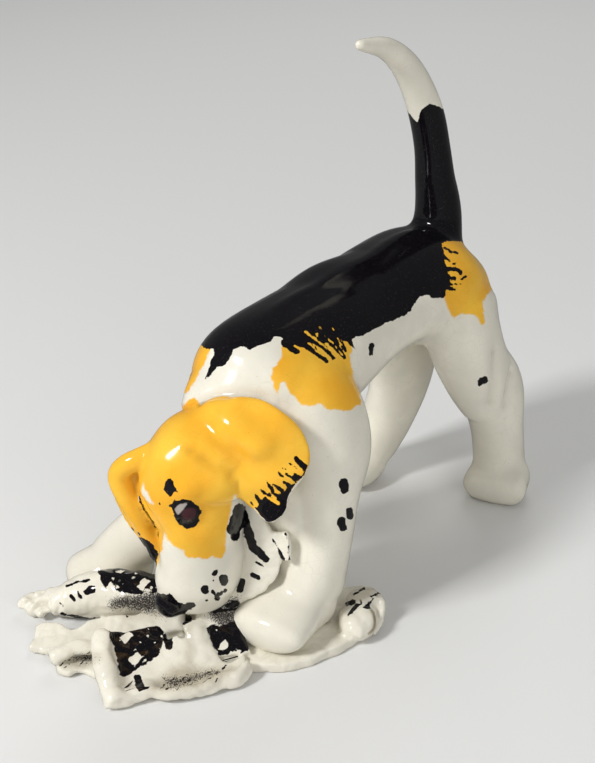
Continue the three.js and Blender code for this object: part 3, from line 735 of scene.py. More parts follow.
FACE_SPOTS = [
    (2.4, 2.4, (159.3, 503.6), (159.5, 504.2)),
    (3.8, 4.2, (214.6, 573.8), (216, 572)),
    (2.6, 2.4, (213.3, 580), (213.8, 580.5)),
    (9.5, 9, (223.2, 579), (224, 581)),
    (7, 6.6, (204.6, 588.2), (205.3, 591.4)),
    (3.8, 4, (212.8, 591.2), (214.4, 593.8)),
    (3.2, 3.4, (214.4, 594.2), (220.5, 593.4), (225, 590)),
    (4.8, 5.2, (216.4, 596.6), (217.4, 598.4)),
    (2, 2, (206, 600.4), (206.4, 600.9)),
]
LEFT_EAR_TIP = [
    (240, 512), (249, 511), (257.5, 506), (264, 497), (271, 492), (280.7, 494.4), (288, 487),
    (295.6, 482.8), (302, 475.5), (306, 470), (314, 466), (318, 490), (300, 512), (290, 530),
    (262, 532),
]
LEFT_EAR_FRINGE = [
    (5.5, 6.5, (296.5, 459), (301, 464), (308, 470)),
    (1.2, 2, (289, 463), (297, 468)),
    (1.4, 1.6, (283, 468), (286.5, 469.6)),
    (2, 3, (278, 472), (282.4, 476.5)),
    (2, 4, (286, 474), (295.6, 480)),
    (4, 6, (295.6, 475), (304, 481)),
    (2, 5, (281, 480), (292, 488)),
    (2, 4, (273, 484), (282, 491)),
    (1.6, 4, (265.5, 479.5), (272.4, 490)),
    (1.6, 3.4, (259.6, 487.4), (268, 497)),
    (3, 5.6, (255.6, 495), (264, 506)),
    (1.2, 2.6, (247.2, 503.5), (254, 513)),
    (1.2, 2.4, (251, 502.2), (257.8, 511)),
]
LEFT_EAR_SLITS = [
    (1.6, 2.8, (264, 495), (271, 499), (278, 503.5)),
    (1.4, 2.2, (268, 490.5), (275, 498)),
    (1.6, 1.2, (281, 484), (286, 489)),
    (1.4, 1.4, (285.5, 479.5), (290, 483)),
    (1.2, 1.4, (254, 508), (258.5, 513.5)),
]
RIGHT_EAR_TIP = [
    (131, 536), (138, 537), (143.5, 538.4), (148, 540.8), (153, 544.4), (155, 549), (158, 553),
    (157, 558), (156, 566), (148, 572), (134, 556),
]
RIGHT_EAR_FRINGE = [
    (1.2, 2.4, (131.5, 528), (137, 538)),
    (1.2, 2.4, (138, 532.5), (142.5, 539)),
]
NOSE_LEATHER = [
    (148, 584), (153.8, 590.4), (163, 594), (171.3, 594.4), (176.2, 600), (183, 604),
    (189.5, 602.2), (195.3, 603), (194.5, 607.2), (187.8, 610.5), (186.2, 615.5), (190.3, 617),
    (189.5, 622), (184.5, 626), (172, 630), (150, 618),
]
MOUTH_CORNER = [
    (234.8, 506.8), (231, 516), (226.6, 528), (226.6, 532.3), (230, 535), (231, 538.8),
    (234.8, 541), (238, 540.4), (239.6, 536), (241, 529.5), (246, 527), (249, 518), (247, 508),
    (239, 504),
]


def brushed(seen, marks):
    """The distance inside brush marks, each its width at both ends and the pixels it goes through."""
    inside = np.full(len(seen), FAR_OUTSIDE * PIXELS_PER_MILLIMETRE)
    for start, end, *path in marks:
        away, share = segment_distances(seen, np.array(path, float))
        inside = np.maximum(inside, (start + (end - start) * share) / 2 - away)
    return inside / PIXELS_PER_MILLIMETRE


def outlined(seen, outline):
    return inside_outline(seen, outline) / PIXELS_PER_MILLIMETRE


def as_seen(skin, middle, side):
    """Where the points lie in the photograph. What it hides is looked up in the mirror image."""
    out = (skin.points - middle) @ side
    hidden = (out < 0) & (skin.facing @ TOWARDS_CAMERA < 0.03)
    twins = skin.points - np.where(hidden, out, 0)[:, None] * 2 * side
    turned = skin.facing - np.where(hidden, skin.facing @ side, 0)[:, None] * 2 * side
    return in_picture(twins), only_where(turned @ TOWARDS_CAMERA > 0)


# No yellow or black of the back lies lower than the belly, and none of the face under the throat
BELLY_HEIGHT = 48
THROAT_HEIGHT = 56


def paint_dog(skin):
    """Lays the black and the yellow on the dog, and a black line of painted shadow in the gap by the
    right ear.
    """
    body_view, body_sight = as_seen(skin, np.zeros(3), np.array((1.0, 0, 0)))
    face_view, _ = as_seen(skin, SKULL, LEFTWARD)
    view = in_picture(skin.points)
    shown = only_where(skin.facing @ TOWARDS_CAMERA > 0)
    body = skin.within("torso", "left_foreleg", "right_foreleg", "left_hind_leg", "right_hind_leg")
    high = np.minimum(skin.points[:, 2] - BELLY_HEIGHT, 8 * (skin.facing[:, 2] + 0.45))
    upper = np.minimum(body, high)
    tail = skin.within("tail")
    trunk = skin.within(
        "torso", "tail", "left_foreleg", "right_foreleg", "left_hind_leg", "right_hind_leg"
    )
    back = np.minimum(trunk, np.maximum(high, 4 * tail))
    head = skin.within("head")
    face = skin.within("head", "left_ear", "right_ear")
    left_ear = skin.within("left_ear") + 0.5
    right_ear = skin.within("right_ear") + 0.5

    skin.cover("yellow", outlined(body_view, SHOULDER_PATCH), upper)
    skin.cover("yellow", outlined(body_view, RUMP_PATCH), upper)
    skin.cover("yellow", outlined(view, FAR_SHOULDER_PATCH), upper, shown)
    skin.cover("yellow", outlined(view, NAPE_PATCH), shown)
    skin.cover("black", outlined(body_view, SADDLE), back)
    skin.cover("black", brushed(body_view, SHOULDER_FRINGE), upper, body_sight)
    skin.scrape("black", brushed(body_view, SHOULDER_SLITS), upper, body_sight)
    skin.cover("black", brushed(body_view, RUMP_FRINGE), upper, body_sight)
    skin.cover("black", brushed(view, BODY_SPOTS), body, shown)
    skin.cover("black", outlined(view, TAIL_SLEEVE), tail)

    over_throat = np.maximum(skin.points[:, 2] - THROAT_HEIGHT, 0)
    throat = FAR_INSIDE * (skin.facing @ AHEAD + 0.5) + over_throat
    skin.cover("yellow", outlined(face_view, FACE_MASK), 4 * face, throat)
    skin.scrape("yellow", outlined(view, BLAZE), head, shown)
    skin.cover("black", outlined(face_view, BROW_SPOT), head, throat)
    skin.cover("black", outlined(face_view, EYE_RING), head, throat)
    skin.cover("grey", outlined(face_view, EYE_CORNER), head, throat)
    skin.cover("brown", outlined(face_view, IRIS), head, throat)
    skin.cover("black", brushed(face_view, FACE_SPOTS), head, throat)
    skin.cover("black", outlined(face_view, NOSE_LEATHER), head)
    skin.cover("black", outlined(view, MOUTH_CORNER), head, shown)

    bare_rim = 6 * (skin.facing @ TOWARDS_CAMERA) + 1.2
    ears = skin.within("left_ear", "right_ear", "head")
    skin.cover("yellow", left_ear, 4 * ears, bare_rim)
    skin.cover("yellow", right_ear, 4 * ears)
    white_rim = 6 * (skin.facing @ TOWARDS_CAMERA - 0.6)
    skin.cover("black", outlined(view, LEFT_EAR_TIP), left_ear, white_rim)
    skin.cover("black", brushed(view, LEFT_EAR_FRINGE), left_ear, white_rim)
    skin.scrape("black", brushed(view, LEFT_EAR_SLITS), left_ear)
    skin.scrape("yellow", outlined(view, LEFT_EAR_TIP), left_ear, -white_rim)
    # A painted shadow: a black line in the gap between the right ear and the head
    gap = [(0.6, 2.0, *RIGHT_EAR_GAP[:3]), (2.0, 0.6, *RIGHT_EAR_GAP[2:])]
    skin.cover("black", brushed(view, gap), skin.within("head", "right_ear"), shown)
    skin.cover("black", outlined(view, RIGHT_EAR_TIP), right_ear, bare_rim)
    skin.cover("black", brushed(view, RIGHT_EAR_FRINGE), right_ear, bare_rim)


def nodes_of(owner):
    """The emptied node tree of a material or of the world."""
    owner.use_nodes = True
    tree = owner.node_tree
    tree.nodes.clear()
    return tree


def put(tree, kind, inputs=(), **settings):
    """Adds a shader node. An input is a value, or the socket that feeds it."""
    node = tree.nodes.new("ShaderNode" + kind)
    for name, value in settings.items():
        setattr(node, name, value)
    for key, value in dict(inputs).items():
        if isinstance(value, bpy.types.NodeSocket):
            tree.links.new(value, node.inputs[key])
        else:
            node.inputs[key].default_value = value
    return node


def maths(tree, operation, first, second=0.0, third=0.0):
    return put(tree, "Math", {0: first, 1: second, 2: third}, operation=operation).outputs[0]


def ramped(tree, value, low, high, bottom=0.0, top=1.0):
    inputs = {"Value": value, "From Min": low, "From Max": high, "To Min": bottom, "To Max": top}
    return put(tree, "MapRange", inputs, interpolation_type="SMOOTHSTEP").outputs["Result"]


def mixed(tree, share, first, second, blend_type="MIX"):
    node = put(tree, "Mix", {0: share, 6: first, 7: second}, data_type="RGBA", blend_type=blend_type)
    return node.outputs[2]


def carried(tree, name):
    """A value that the surface carries."""
    return put(tree, "Attribute", attribute_name=name).outputs["Fac"]


CREAM = (0.80, 0.765, 0.655, 1)
YELLOW = (0.93, 0.54, 0.055, 1)
DEEP_YELLOW = (0.90, 0.44, 0.03, 1)
BLACK = (0.004, 0.0035, 0.005, 1)
THIN_BLACK = (0.035, 0.026, 0.024, 1)
IRIS_BROWN = (0.055, 0.018, 0.022, 1)
EYE_GREY = (0.36, 0.33, 0.30, 1)
# Darkens the glaze with dirt and painted shade in hollows and seams
DIRT_AND_SHADE = (0.34, 0.27, 0.15, 1)
SOOT_GREY = (0.17, 0.145, 0.135, 1)
CRAZE = (0.30, 0.25, 0.17, 1)


def socket(tree, name, way, kind, value=None):
    made = tree.interface.new_socket(name=name, in_out=way, socket_type="NodeSocket" + kind)
    if value is not None:
        made.default_value = value


def aged_and_shaded_glaze_group():
    """Crazing, dirt and painted shade in the hollows and seams, and the slow waves of a hand-dipped
    glaze.
    """
    tree = bpy.data.node_groups.new("aged_and_shaded_glaze", "ShaderNodeTree")
    socket(tree, "Colour", "INPUT", "Color")
    socket(tree, "Dirt and shade", "INPUT", "Float", 0.0)
    socket(tree, "Crazing", "INPUT", "Float", 0.3)
    socket(tree, "Colour", "OUTPUT", "Color")
    socket(tree, "Roughness", "OUTPUT", "Float")
    socket(tree, "Height", "OUTPUT", "Float")
    given = tree.nodes.new("NodeGroupInput")
    place = put(tree, "TexCoord").outputs["Object"]
    clouds = put(tree, "TexNoise", {"Vector": place, "Scale": 90, "Detail": 4}).outputs["Fac"]
    grain = put(tree, "TexNoise", {"Vector": place, "Scale": 1400, "Detail": 3}).outputs["Fac"]
    waves = put(tree, "TexNoise", {"Vector": place, "Scale": 120, "Detail": 1}).outputs["Fac"]
    wobble = put(tree, "TexNoise", {"Vector": place, "Scale": 400, "Detail": 2}).outputs["Color"]
    bent = put(
        tree, "VectorMath", {0: wobble, 1: (0.0012, 0.0012, 0.0012), 2: place},
        operation="MULTIPLY_ADD",
    ).outputs[0]
    cells = put(
        tree, "TexVoronoi", {"Vector": bent, "Scale": 300}, feature="DISTANCE_TO_EDGE"
    ).outputs["Distance"]
    line = ramped(tree, cells, 0.0, 0.035, 1.0, 0.0)
    patchy = ramped(tree, clouds, 0.42, 0.62)
    craze = maths(tree, "MULTIPLY", maths(tree, "MULTIPLY", line, patchy), given.outputs["Crazing"])
    cloudy = ramped(tree, clouds, 0.3, 0.75, 0.93, 1.04)
    mottled = put(tree, "HueSaturation", {"Color": given.outputs["Colour"], "Value": cloudy}).outputs[0]
    crazed = mixed(tree, craze, mottled, CRAZE, "MULTIPLY")
    # Dirt and painted shade, broken up by a fine grain
    grime_and_shade = maths(tree, "MULTIPLY", given.outputs["Dirt and shade"], ramped(tree, grain, 0.3, 0.7, 0.75, 1.0))
    dirty_and_shaded = mixed(tree, grime_and_shade, crazed, DIRT_AND_SHADE, "MULTIPLY")
    height = maths(tree, "ADD", waves, maths(tree, "MULTIPLY", grain, 0.02))
    out = tree.nodes.new("NodeGroupOutput")
    tree.links.new(dirty_and_shaded, out.inputs["Colour"])
    rough = ramped(tree, clouds, 0.3, 0.7, 0.10, 0.17)
    soiled_and_shaded = maths(tree, "ADD", rough, maths(tree, "MULTIPLY", grime_and_shade, 0.25))
    tree.links.new(soiled_and_shaded, out.inputs["Roughness"])
    tree.links.new(height, out.inputs["Height"])
    return tree


def paint_edge_group():
    """Turns a distance into a painted patch with a hand's uneven edge."""
    tree = bpy.data.node_groups.new("painted_edge", "ShaderNodeTree")
    socket(tree, "Distance", "INPUT", "Float", 0.0)
    socket(tree, "Raggedness", "INPUT", "Float", 0.5)
    socket(tree, "Softness", "INPUT", "Float", 0.1)
    socket(tree, "Mask", "OUTPUT", "Float")
    given = tree.nodes.new("NodeGroupInput")
    place = put(tree, "TexCoord").outputs["Object"]
    coarse = put(tree, "TexNoise", {"Vector": place, "Scale": 700, "Detail": 3}).outputs["Fac"]
    shaken = maths(tree, "MULTIPLY", maths(tree, "SUBTRACT", coarse, 0.5), given.outputs["Raggedness"])
    moved = maths(tree, "ADD", given.outputs["Distance"], shaken)
    share = maths(tree, "DIVIDE", moved, given.outputs["Softness"])
    out = tree.nodes.new("NodeGroupOutput")
    tree.links.new(ramped(tree, share, -1.0, 1.0), out.inputs["Mask"])
    return tree


def print_group():
    """Angular chips of bare cream that break up a blotch of newsprint."""
    tree = bpy.data.node_groups.new("newsprint_chips", "ShaderNodeTree")
    socket(tree, "Mask", "OUTPUT", "Float")
    place = put(tree, "TexCoord").outputs["Object"]
    wobble = put(tree, "TexNoise", {"Vector": place, "Scale": 600, "Detail": 2}).outputs["Color"]
    bent = put(
        tree, "VectorMath", {0: wobble, 1: (0.0014, 0.0014, 0.0014), 2: place},
        operation="MULTIPLY_ADD",
    ).outputs[0]
    drawn = put(tree, "VectorMath", {0: bent, 1: (1.0, 0.6, 0.8)}, operation="MULTIPLY").outputs[0]
    chips = put(tree, "TexVoronoi", {"Vector": drawn, "Scale": 310}, distance="CHEBYCHEV")
    lucky = ramped(tree, chips.outputs["Color"], 0.50, 0.52)
    inside = ramped(tree, chips.outputs["Distance"], 0.30, 0.34, 1.0, 0.0)
    small = put(tree, "TexVoronoi", {"Vector": bent, "Scale": 800}, distance="CHEBYCHEV")
    few = ramped(tree, small.outputs["Color"], 0.78, 0.80)
    speck = ramped(tree, small.outputs["Distance"], 0.26, 0.32, 1.0, 0.0)
    both = maths(
        tree, "MAXIMUM", maths(tree, "MULTIPLY", lucky, inside), maths(tree, "MULTIPLY", few, speck)
    )
    out = tree.nodes.new("NodeGroupOutput")
    tree.links.new(both, out.inputs["Mask"])
    return tree


def edged(tree, groups, paint, raggedness, softness):
    """Where a paint lies, with the unevenness of its edge in millimetres."""
    inputs = {"Distance": carried(tree, paint), "Raggedness": raggedness, "Softness": softness}
    return put(tree, "Group", inputs, node_tree=groups["edge"]).outputs["Mask"]


def painted_coat(tree, groups, place):
    """The cream slip and the hand-painted yellow, which is deeper where it was laid on thicker."""
    depth = put(tree, "TexNoise", {"Vector": place, "Scale": 60, "Detail": 5}).outputs["Fac"]
    yolk = mixed(tree, ramped(tree, depth, 0.35, 0.7), YELLOW, DEEP_YELLOW)
    return mixed(tree, edged(tree, groups, "yellow", 1.6, 0.35), CREAM, yolk)


def ink_colour(tree, groups, place):
    """Black with thin pinholes, and the eye's brown iris and light corner."""
    pinholes = put(tree, "TexNoise", {"Vector": place, "Scale": 2500, "Detail": 2}).outputs["Fac"]
    ink = mixed(tree, ramped(tree, pinholes, 0.6, 0.75), BLACK, THIN_BLACK)
    ink = mixed(tree, edged(tree, groups, "brown", 0.8, 0.5), ink, IRIS_BROWN)
    return mixed(tree, edged(tree, groups, "grey", 0.8, 0.25), ink, EYE_GREY)


def ink_mask(tree, groups, place):
    """Where ink lies: whole in the black paint, chipped in the print and speckled in the soot."""
    chips = put(tree, "Group", node_tree=groups["print"]).outputs["Mask"]
    whole = maths(tree, "SUBTRACT", 1.0, chips)
    printed = maths(tree, "MULTIPLY", edged(tree, groups, "print", 1.6, 0.08), whole)
    speckles = put(tree, "TexNoise", {"Vector": place, "Scale": 3200, "Detail": 2}).outputs["Fac"]
    dense = ramped(tree, carried(tree, "speckle"), -1.5, 2.5, 0.0, 0.34)
    threshold = maths(tree, "SUBTRACT", 0.75, dense)
    speckled = ramped(tree, maths(tree, "SUBTRACT", speckles, threshold), -0.03, 0.05, 0.0, 0.9)
    black = edged(tree, groups, "black", 1.3, 0.08)
    return maths(tree, "MAXIMUM", maths(tree, "MAXIMUM", black, printed), speckled)


def glaze_material(name, groups):
    """Cream porcelain under a clear glaze, with hand-painted yellow and black."""
    material = bpy.data.materials.new(name)
    tree = nodes_of(material)
    place = put(tree, "TexCoord").outputs["Object"]
    inputs = {
        "Colour": painted_coat(tree, groups, place), "Dirt and shade": carried(tree, "dirt_and_shade"), "Crazing": 0.10,
    }
    # The group darkens the colour with dirt and painted shade where the surface carries them
    aged_and_shaded = put(tree, "Group", inputs, node_tree=groups["aged_and_shaded"])
    wash = ramped(tree, carried(tree, "speckle"), 0.0, 3.0, 0.0, 0.7)
    washed = mixed(tree, wash, aged_and_shaded.outputs["Colour"], SOOT_GREY)
    ink = ink_colour(tree, groups, place)
    colour = mixed(tree, ink_mask(tree, groups, place), washed, ink)
    bump = put(tree, "Bump", {"Height": aged_and_shaded.outputs["Height"], "Distance": 0.0004, "Strength": 0.35})
    shader = put(tree, "BsdfPrincipled", {
        "Base Color": colour, "Roughness": aged_and_shaded.outputs["Roughness"], "Normal": bump.outputs[0],
        "IOR": 1.42,
    })
    put(tree, "OutputMaterial", {"Surface": shader.outputs[0]})
    return material


# Seams of the dog that get a dark line of dirt and painted shade
DOG_SEAMS = (
    ("head", "torso"), ("left_ear", "torso"), ("left_ear", "left_foreleg"), ("right_ear", "torso"),
    ("right_ear", "head"),
)


def note_hollows(skin, seams=()):
    """Notes how deep in a hollow or near to a seam each point lies, for the dirt and painted shade that
    darken hollows and seams.
    """
    evened = skin.points.copy()
    for _ in range(int(30 * (FINISHED_SKIN_GRAIN / SKIN_GRAIN) ** 2) + 4):
        evened = (evened + skin.mean_of_neighbours(evened)) / 2
    depth = np.einsum("ij,ij->i", evened - skin.points, skin.facing)
    # Dirt and painted shade: the deeper the hollow, the darker it is painted
    dirt_and_shade = 0.6 * np.clip(depth / 0.8, 0, 1) ** 1.5
    # Dirt and painted shade: a dark line along each seam
    for name, other in seams:
        line = 1 - smooth_step(0.1, 0.5, skin.seam(name, other))
        if (name, other) == ("right_ear", "head"):
            line *= 1 - smooth_step(50, 54, skin.points[:, 2])
        dirt_and_shade = np.maximum(dirt_and_shade, 0.9 * line)
    skin.paint["dirt_and_shade"] = dirt_and_shade


def close_cuts(part, lid_depth):
    """Closes each cut with a skirt turned into the clay and a hidden lid with a sunk middle."""
    facing = part.verts.layers.float_vector["facing"]
    rims = [edge for edge in part.edges if edge.is_boundary]
    grown = bmesh.ops.extrude_edge_only(part, edges=rims)["geom"]
    for vertex in grown:
        if isinstance(vertex, bmesh.types.BMVert):
            vertex.co -= vertex[facing] * SKIRT_DEPTH
    rims = [edge for edge in part.edges if edge.is_boundary]
    for lid in bmesh.ops.holes_fill(part, edges=rims, sides=0)["faces"]:
        if not lid.edges[0].is_contiguous:
            lid.normal_flip()
        lid.normal_update()
        corners = lid.verts[:]
        outward = sum((corner[facing] for corner in corners), Vector()) / len(corners)
        middle = sum((corner.co for corner in corners), Vector()) / len(corners)
        hub = bmesh.ops.poke(part, faces=[lid])["verts"][0]
        hub.co = middle - outward * lid_depth
        hub[facing] = outward
        for layer in part.verts.layers.float.values():
            hub[layer] = sum(corner[layer] for corner in corners) / len(corners)


def carry_paint(skin):
    """Writes the paint and the facing to the mesh, so that its cut pieces keep them."""
    for name, values in skin.paint.items():
        layer = skin.mesh.attributes.new(name, "FLOAT", "POINT")
        layer.data.foreach_set("value", values.astype(np.float32))
    facing = skin.mesh.attributes.new("facing", "FLOAT_VECTOR", "POINT")
    facing.data.foreach_set("vector", skin.facing.astype(np.float32).ravel())


def owners_of_faces(skin):
    """For each face, the number of the clay that is nearest to its first three corners."""
    corners = np.array([face.vertices[:3] for face in skin.mesh.polygons])
    return skin.away[corners].sum(axis=1).argmin(axis=1)


def keep_facing(mesh):
    """Shades a cut piece with the facing that the whole skin had, so that no cut shows."""
    mesh.polygons.foreach_set("use_smooth", [True] * len(mesh.polygons))
    directions = np.empty(len(mesh.vertices) * 3, np.float32)
    mesh.attributes["facing"].data.foreach_get("vector", directions)
    mesh.normals_split_custom_set_from_vertices(directions.reshape(-1, 3).tolist())
    mesh.attributes.remove(mesh.attributes["facing"])


def cut_into_pieces(skin, material, lid_depth):
    """Parts the skin into one closed piece for each CAD piece."""
    skin.settle()
    carry_paint(skin)
    owner = owners_of_faces(skin)
    for number, name in enumerate(skin.names):
        part = bmesh.new()
        part.from_mesh(skin.mesh)
        part.faces.ensure_lookup_table()
        others = [part.faces[index] for index in np.nonzero(owner != number)[0]]
        bmesh.ops.delete(part, geom=others, context="FACES")
        close_cuts(part, lid_depth)
        mesh = mesh_of(part, name + "_glazed")
        keep_facing(mesh)
        mesh.transform(DOG_PLACE)
        mesh.materials.append(material)
        piece = add_object(name + "_glazed", mesh)
        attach(piece, "root")
        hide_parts(name)
    bpy.data.meshes.remove(skin.mesh)


# The paper's forms: the sheet's outline in millimetres, and the leaves' edges, each a list of
# (pixel across, pixel down, height)
SHEET_OUTLINE = [
    (33, -12.5), (35, -19), (35.2, -26), (34.2, -34), (31.5, -42), (27, -51), (19, -57), (17, -66),
    (10, -76), (3, -84), (-5, -84), (-14, -80), (-22, -76), (-26, -68), (-22, -58), (-12, -50),
    (-2, -40), (6, -30), (14, -18), (22, -9), (29, -8.5),
]
BACK_ROLL = [
    (26, 603, 3.2, 4.4, 5.2), (36, 602, 3.6, 5.4, 6.2), (47, 602, 4.2, 5.4, 6),
    (60, 602, 5.0, 8.4, 8.4), (80, 597, 6.0, 12, 11), (100, 594, 6.8, 14, 12.5),
    (125, 594, 7.3, 14, 13), (155, 597, 7.5, 13, 12.5), (185, 600, 7.5, 12, 11),
]
ROLL_CRUMPLE = [(24, 602, 3.4, 4.5, 4.4), (33, 605, 3.4, 5.6, 4.4), (42, 611, 3.0, 4, 3)]
TONGUE_NEAR = [
    (29, 646, 2.8), (50, 650, 3.0), (72, 646, 3.4), (100, 640, 4.2), (150, 632, 5.4), (185, 628, 6.2),
]
TONGUE_FAR = [
    (37, 624, 3.8), (58, 622, 4.6), (72, 628, 4.8), (100, 617, 6.4), (130, 614, 7.4), (185, 608, 8.2),
]
LEFT_LEAF_NEAR = [
    (57, 668, 2.6), (65, 673, 2.2), (76, 669, 2.6), (88, 671, 2.2), (101, 680, 2.0), (122, 690, 2.0),
]
LEFT_LEAF_FAR = [
    (58, 660, 2.8), (68, 656, 2.8), (80, 654, 3.0), (92, 652, 3.0), (108, 650, 3.0), (125, 648, 3.0),
]
LEFT_LEAF_ROLL = [
    (53, 657, 4.0, 5.4, 4.6), (63, 652, 5.0, 5.6, 4), (76, 648, 5.4, 5, 3.4), (92, 647, 5.4, 5, 3.4),
    (108, 646, 5.4, 5, 3.4),
]
FOLD_LEFT = [(95, 631, 12), (93, 645, 10.3), (97, 664, 8), (103, 684, 5.4), (108, 704, 3.4)]
FOLD_RIGHT = [(158, 624, 10.5), (166, 634, 9.2), (166, 650, 7), (154, 668, 4.6), (134, 694, 2.8)]
FOLD_BAND = [
    (102, 636, 10.6, 5.6, 4.4), (101, 650, 9, 5.6, 4.4), (104, 668, 6.8, 5.6, 4.4),
    (109, 686, 4.6, 5.6, 4.2), (115, 700, 3.4, 5.2, 3.8),
]
RIM_NEAR = [
    (112, 701, 3.2), (129, 699, 3.0), (148, 693, 3.6), (169, 694, 3.0), (186, 692, 3.2),
    (204, 690, 3.0), (222, 680, 3.8), (238, 679, 3.2), (247, 664, 4.6),
]
RIM_FAR = [
    (118, 692, 3.0), (133, 676, 3.9), (149, 662, 5.2), (163, 646, 7.5), (174, 634, 9.5),
    (184, 638, 8.8), (190, 650, 6.4), (200, 661, 4.4), (216, 664, 4.0), (232, 662, 4.2),
    (246, 656, 5.0),
]
RIM_LIP = [
    (111, 701, 2.8, 3.4, 4.4), (127, 698, 2.9, 2.6, 3.8), (148, 692, 3.2, 2.2, 3),
    (169, 694, 2.9, 2.4, 3.2), (186, 691, 3.0, 2.4, 3.4), (204, 688, 3.0, 2.4, 3),
    (221, 678, 3.4, 2.2, 3.4), (237, 677, 3.2, 2.2, 3), (247, 664, 4.2, 2.4, 3.2),
]
RIM_ROOT = [(122, 695, 2.6, 3.2, 3.2), (137, 692, 2.8, 3.6, 3.4), (152, 687, 3.0, 3.2, 3.2)]
RIDGE_LEFT = [(182, 622, 11.5), (184, 636, 9.4), (186, 650, 7), (187, 664, 4.4), (189, 672, 3.4)]
RIDGE_RIGHT = [(202, 616, 11.5), (208, 632, 9.2), (213, 646, 6.8), (220, 657, 4.8), (230, 662, 3.8)]
PANEL_LEFT = [(196, 614, 12), (200, 630, 9.4), (206, 644, 6.8), (213, 656, 4.6)]
PANEL_RIGHT = [(237, 600, 12.5), (241, 618, 9.8), (246, 636, 6.8), (252, 652, 4.6)]
STRIP_LEFT = [
    (241, 497, 43.6), (240, 504, 41.6), (239, 518, 37), (237, 540, 29.5), (237, 564, 23.5),
    (230, 588, 16.5), (208, 608, 11),
]
STRIP_RIGHT = [
    (251, 501, 43.6), (258, 509, 41.4), (266, 522, 37.5), (275, 542, 32), (282, 560, 26.5),
    (272, 585, 19), (240, 606, 12),
]
SCRAP_LEFT = [(268, 532, 34), (272, 540, 32.5), (277, 550, 30), (282, 561, 27.5)]
SCRAP_RIGHT = [(285, 532, 35.5), (288, 539, 34), (290, 548, 31.5), (290, 561, 28)]
CURL = [
    (346, 622, 3.6, 12, 7), (355, 621, 4, 14, 8), (363, 621, 4, 14, 8), (369, 622, 3.8, 12, 7),
]
CURL_TOP_NEAR = [
    (346, 599, 7.8), (354, 602, 8.4), (361, 603, 8.8), (367, 600, 8.8), (373, 597, 8.6),
]
CURL_TOP_FAR = [
    (351, 591, 8.4), (358, 588, 9), (364, 587.5, 9.2), (371, 588, 9.2), (379, 590.5, 8.8),
]
CURLED_LEAF_NEAR = [
    (373, 600, 7.8), (371.5, 607, 6.2), (374, 614, 4.8), (374.5, 622, 3.8), (368, 633, 2.4),
]
CURLED_LEAF_FAR = [
    (380, 596, 8.4), (384, 603, 7.2), (382, 611, 5.4), (378.5, 621, 3.8), (372, 632, 2.2),
]


def paper_forms():
    """The torn sheet and its crumpled leaves, one lump for each piece."""
    forms = {name: bmesh.new() for name in (
        "paper_base_sheet", "paper_back_roll", "paper_left_tongue", "paper_left_leaf",
        "paper_front_fold", "paper_front_rim", "paper_centre_ridge", "paper_print_panel",
        "paper_mouth_strip", "paper_cheek_scrap", "paper_right_curl", "paper_right_leaf",
    )}
    sheet = forms["paper_base_sheet"]
    outline = filled_between([*SHEET_OUTLINE, SHEET_OUTLINE[0]], 6)[:-1]
    corners = [sheet.verts.new((x, y, 0.0)) for x, y in outline]
    floor = bmesh.ops.contextual_create(sheet, geom=corners)["faces"]
    top = bmesh.ops.extrude_face_region(sheet, geom=floor)["geom"]
    raised = [part for part in top if isinstance(part, bmesh.types.BMVert)]
    bmesh.ops.translate(sheet, vec=(0, 0, SHEET_THICKNESS), verts=raised)

    def roll(name, sections, **shape):
        loft(forms[name], [seen_section(*section) for section in sections], **shape)

    roll("paper_back_roll", BACK_ROLL, across=(0, 0, 1), domes=(2, 4))
    roll("paper_back_roll", ROLL_CRUMPLE, across=(0, 0, 1), domes=(1.5, 1))
    leaf(forms["paper_left_tongue"], TONGUE_NEAR, TONGUE_FAR, 2.4, torn=0.5, ruffle=0.7)
    leaf(forms["paper_left_leaf"], LEFT_LEAF_NEAR, LEFT_LEAF_FAR, 2.0, torn=0.6, ruffle=0.7)
    roll("paper_left_leaf", LEFT_LEAF_ROLL, across=(0, 1, 0), domes=(1, 2))
    leaf(forms["paper_front_fold"], FOLD_LEFT, FOLD_RIGHT, 2.6, bow=UPWARD * -0.8, ruffle=0.4)
    roll("paper_front_fold", FOLD_BAND, across=(1, 0, 0), domes=(2, 1.5))
    leaf(forms["paper_front_rim"], RIM_NEAR, RIM_FAR, 2.4, bow=UPWARD * -1.2, torn=0.5, ruffle=0.4)
    roll("paper_front_rim", RIM_LIP, domes=(1.2, 1.2), sides=12, squareness=2.5)
    roll("paper_front_rim", RIM_ROOT, domes=(1.5, 1.5), sides=12)
    leaf(forms["paper_centre_ridge"], RIDGE_LEFT, RIDGE_RIGHT, 3.0, bow=TOWARDS_CAMERA, ruffle=0.3)
    leaf(forms["paper_print_panel"], PANEL_LEFT, PANEL_RIGHT, 2.6, ruffle=0.4)
    leaf(forms["paper_mouth_strip"], STRIP_LEFT, STRIP_RIGHT, 2.6, bow=TOWARDS_CAMERA, ruffle=0.4)
    leaf(forms["paper_cheek_scrap"], SCRAP_LEFT, SCRAP_RIGHT, 2.0, columns=8)
    roll("paper_right_curl", CURL, across=(0, 1, 0), domes=(2, 2))
    leaf(forms["paper_right_curl"], CURL_TOP_NEAR, CURL_TOP_FAR, 1.8, torn=0.3)
    leaf(forms["paper_right_leaf"], CURLED_LEAF_NEAR, CURLED_LEAF_FAR, 1.8, bow=TOWARDS_CAMERA * -0.6)
    return forms


# The paper's print, soot, pencil marks, dirt and painted shade: generic blotches, in pixels of the
# photograph
PRINT_BLOCKS = {
    "paper_back_roll": [
        (98, 562), (114, 556), (134, 556), (158, 562), (158, 590), (140, 594), (122, 592), (104, 586),
    ],
    "paper_front_fold": [
        (109, 630), (130, 627), (160, 627), (163, 640), (158, 655), (140, 667), (122, 677), (116, 656),
    ],
    "paper_print_panel": [(207, 628), (222, 625), (239, 622), (249, 646), (243, 652), (215, 654)],
}
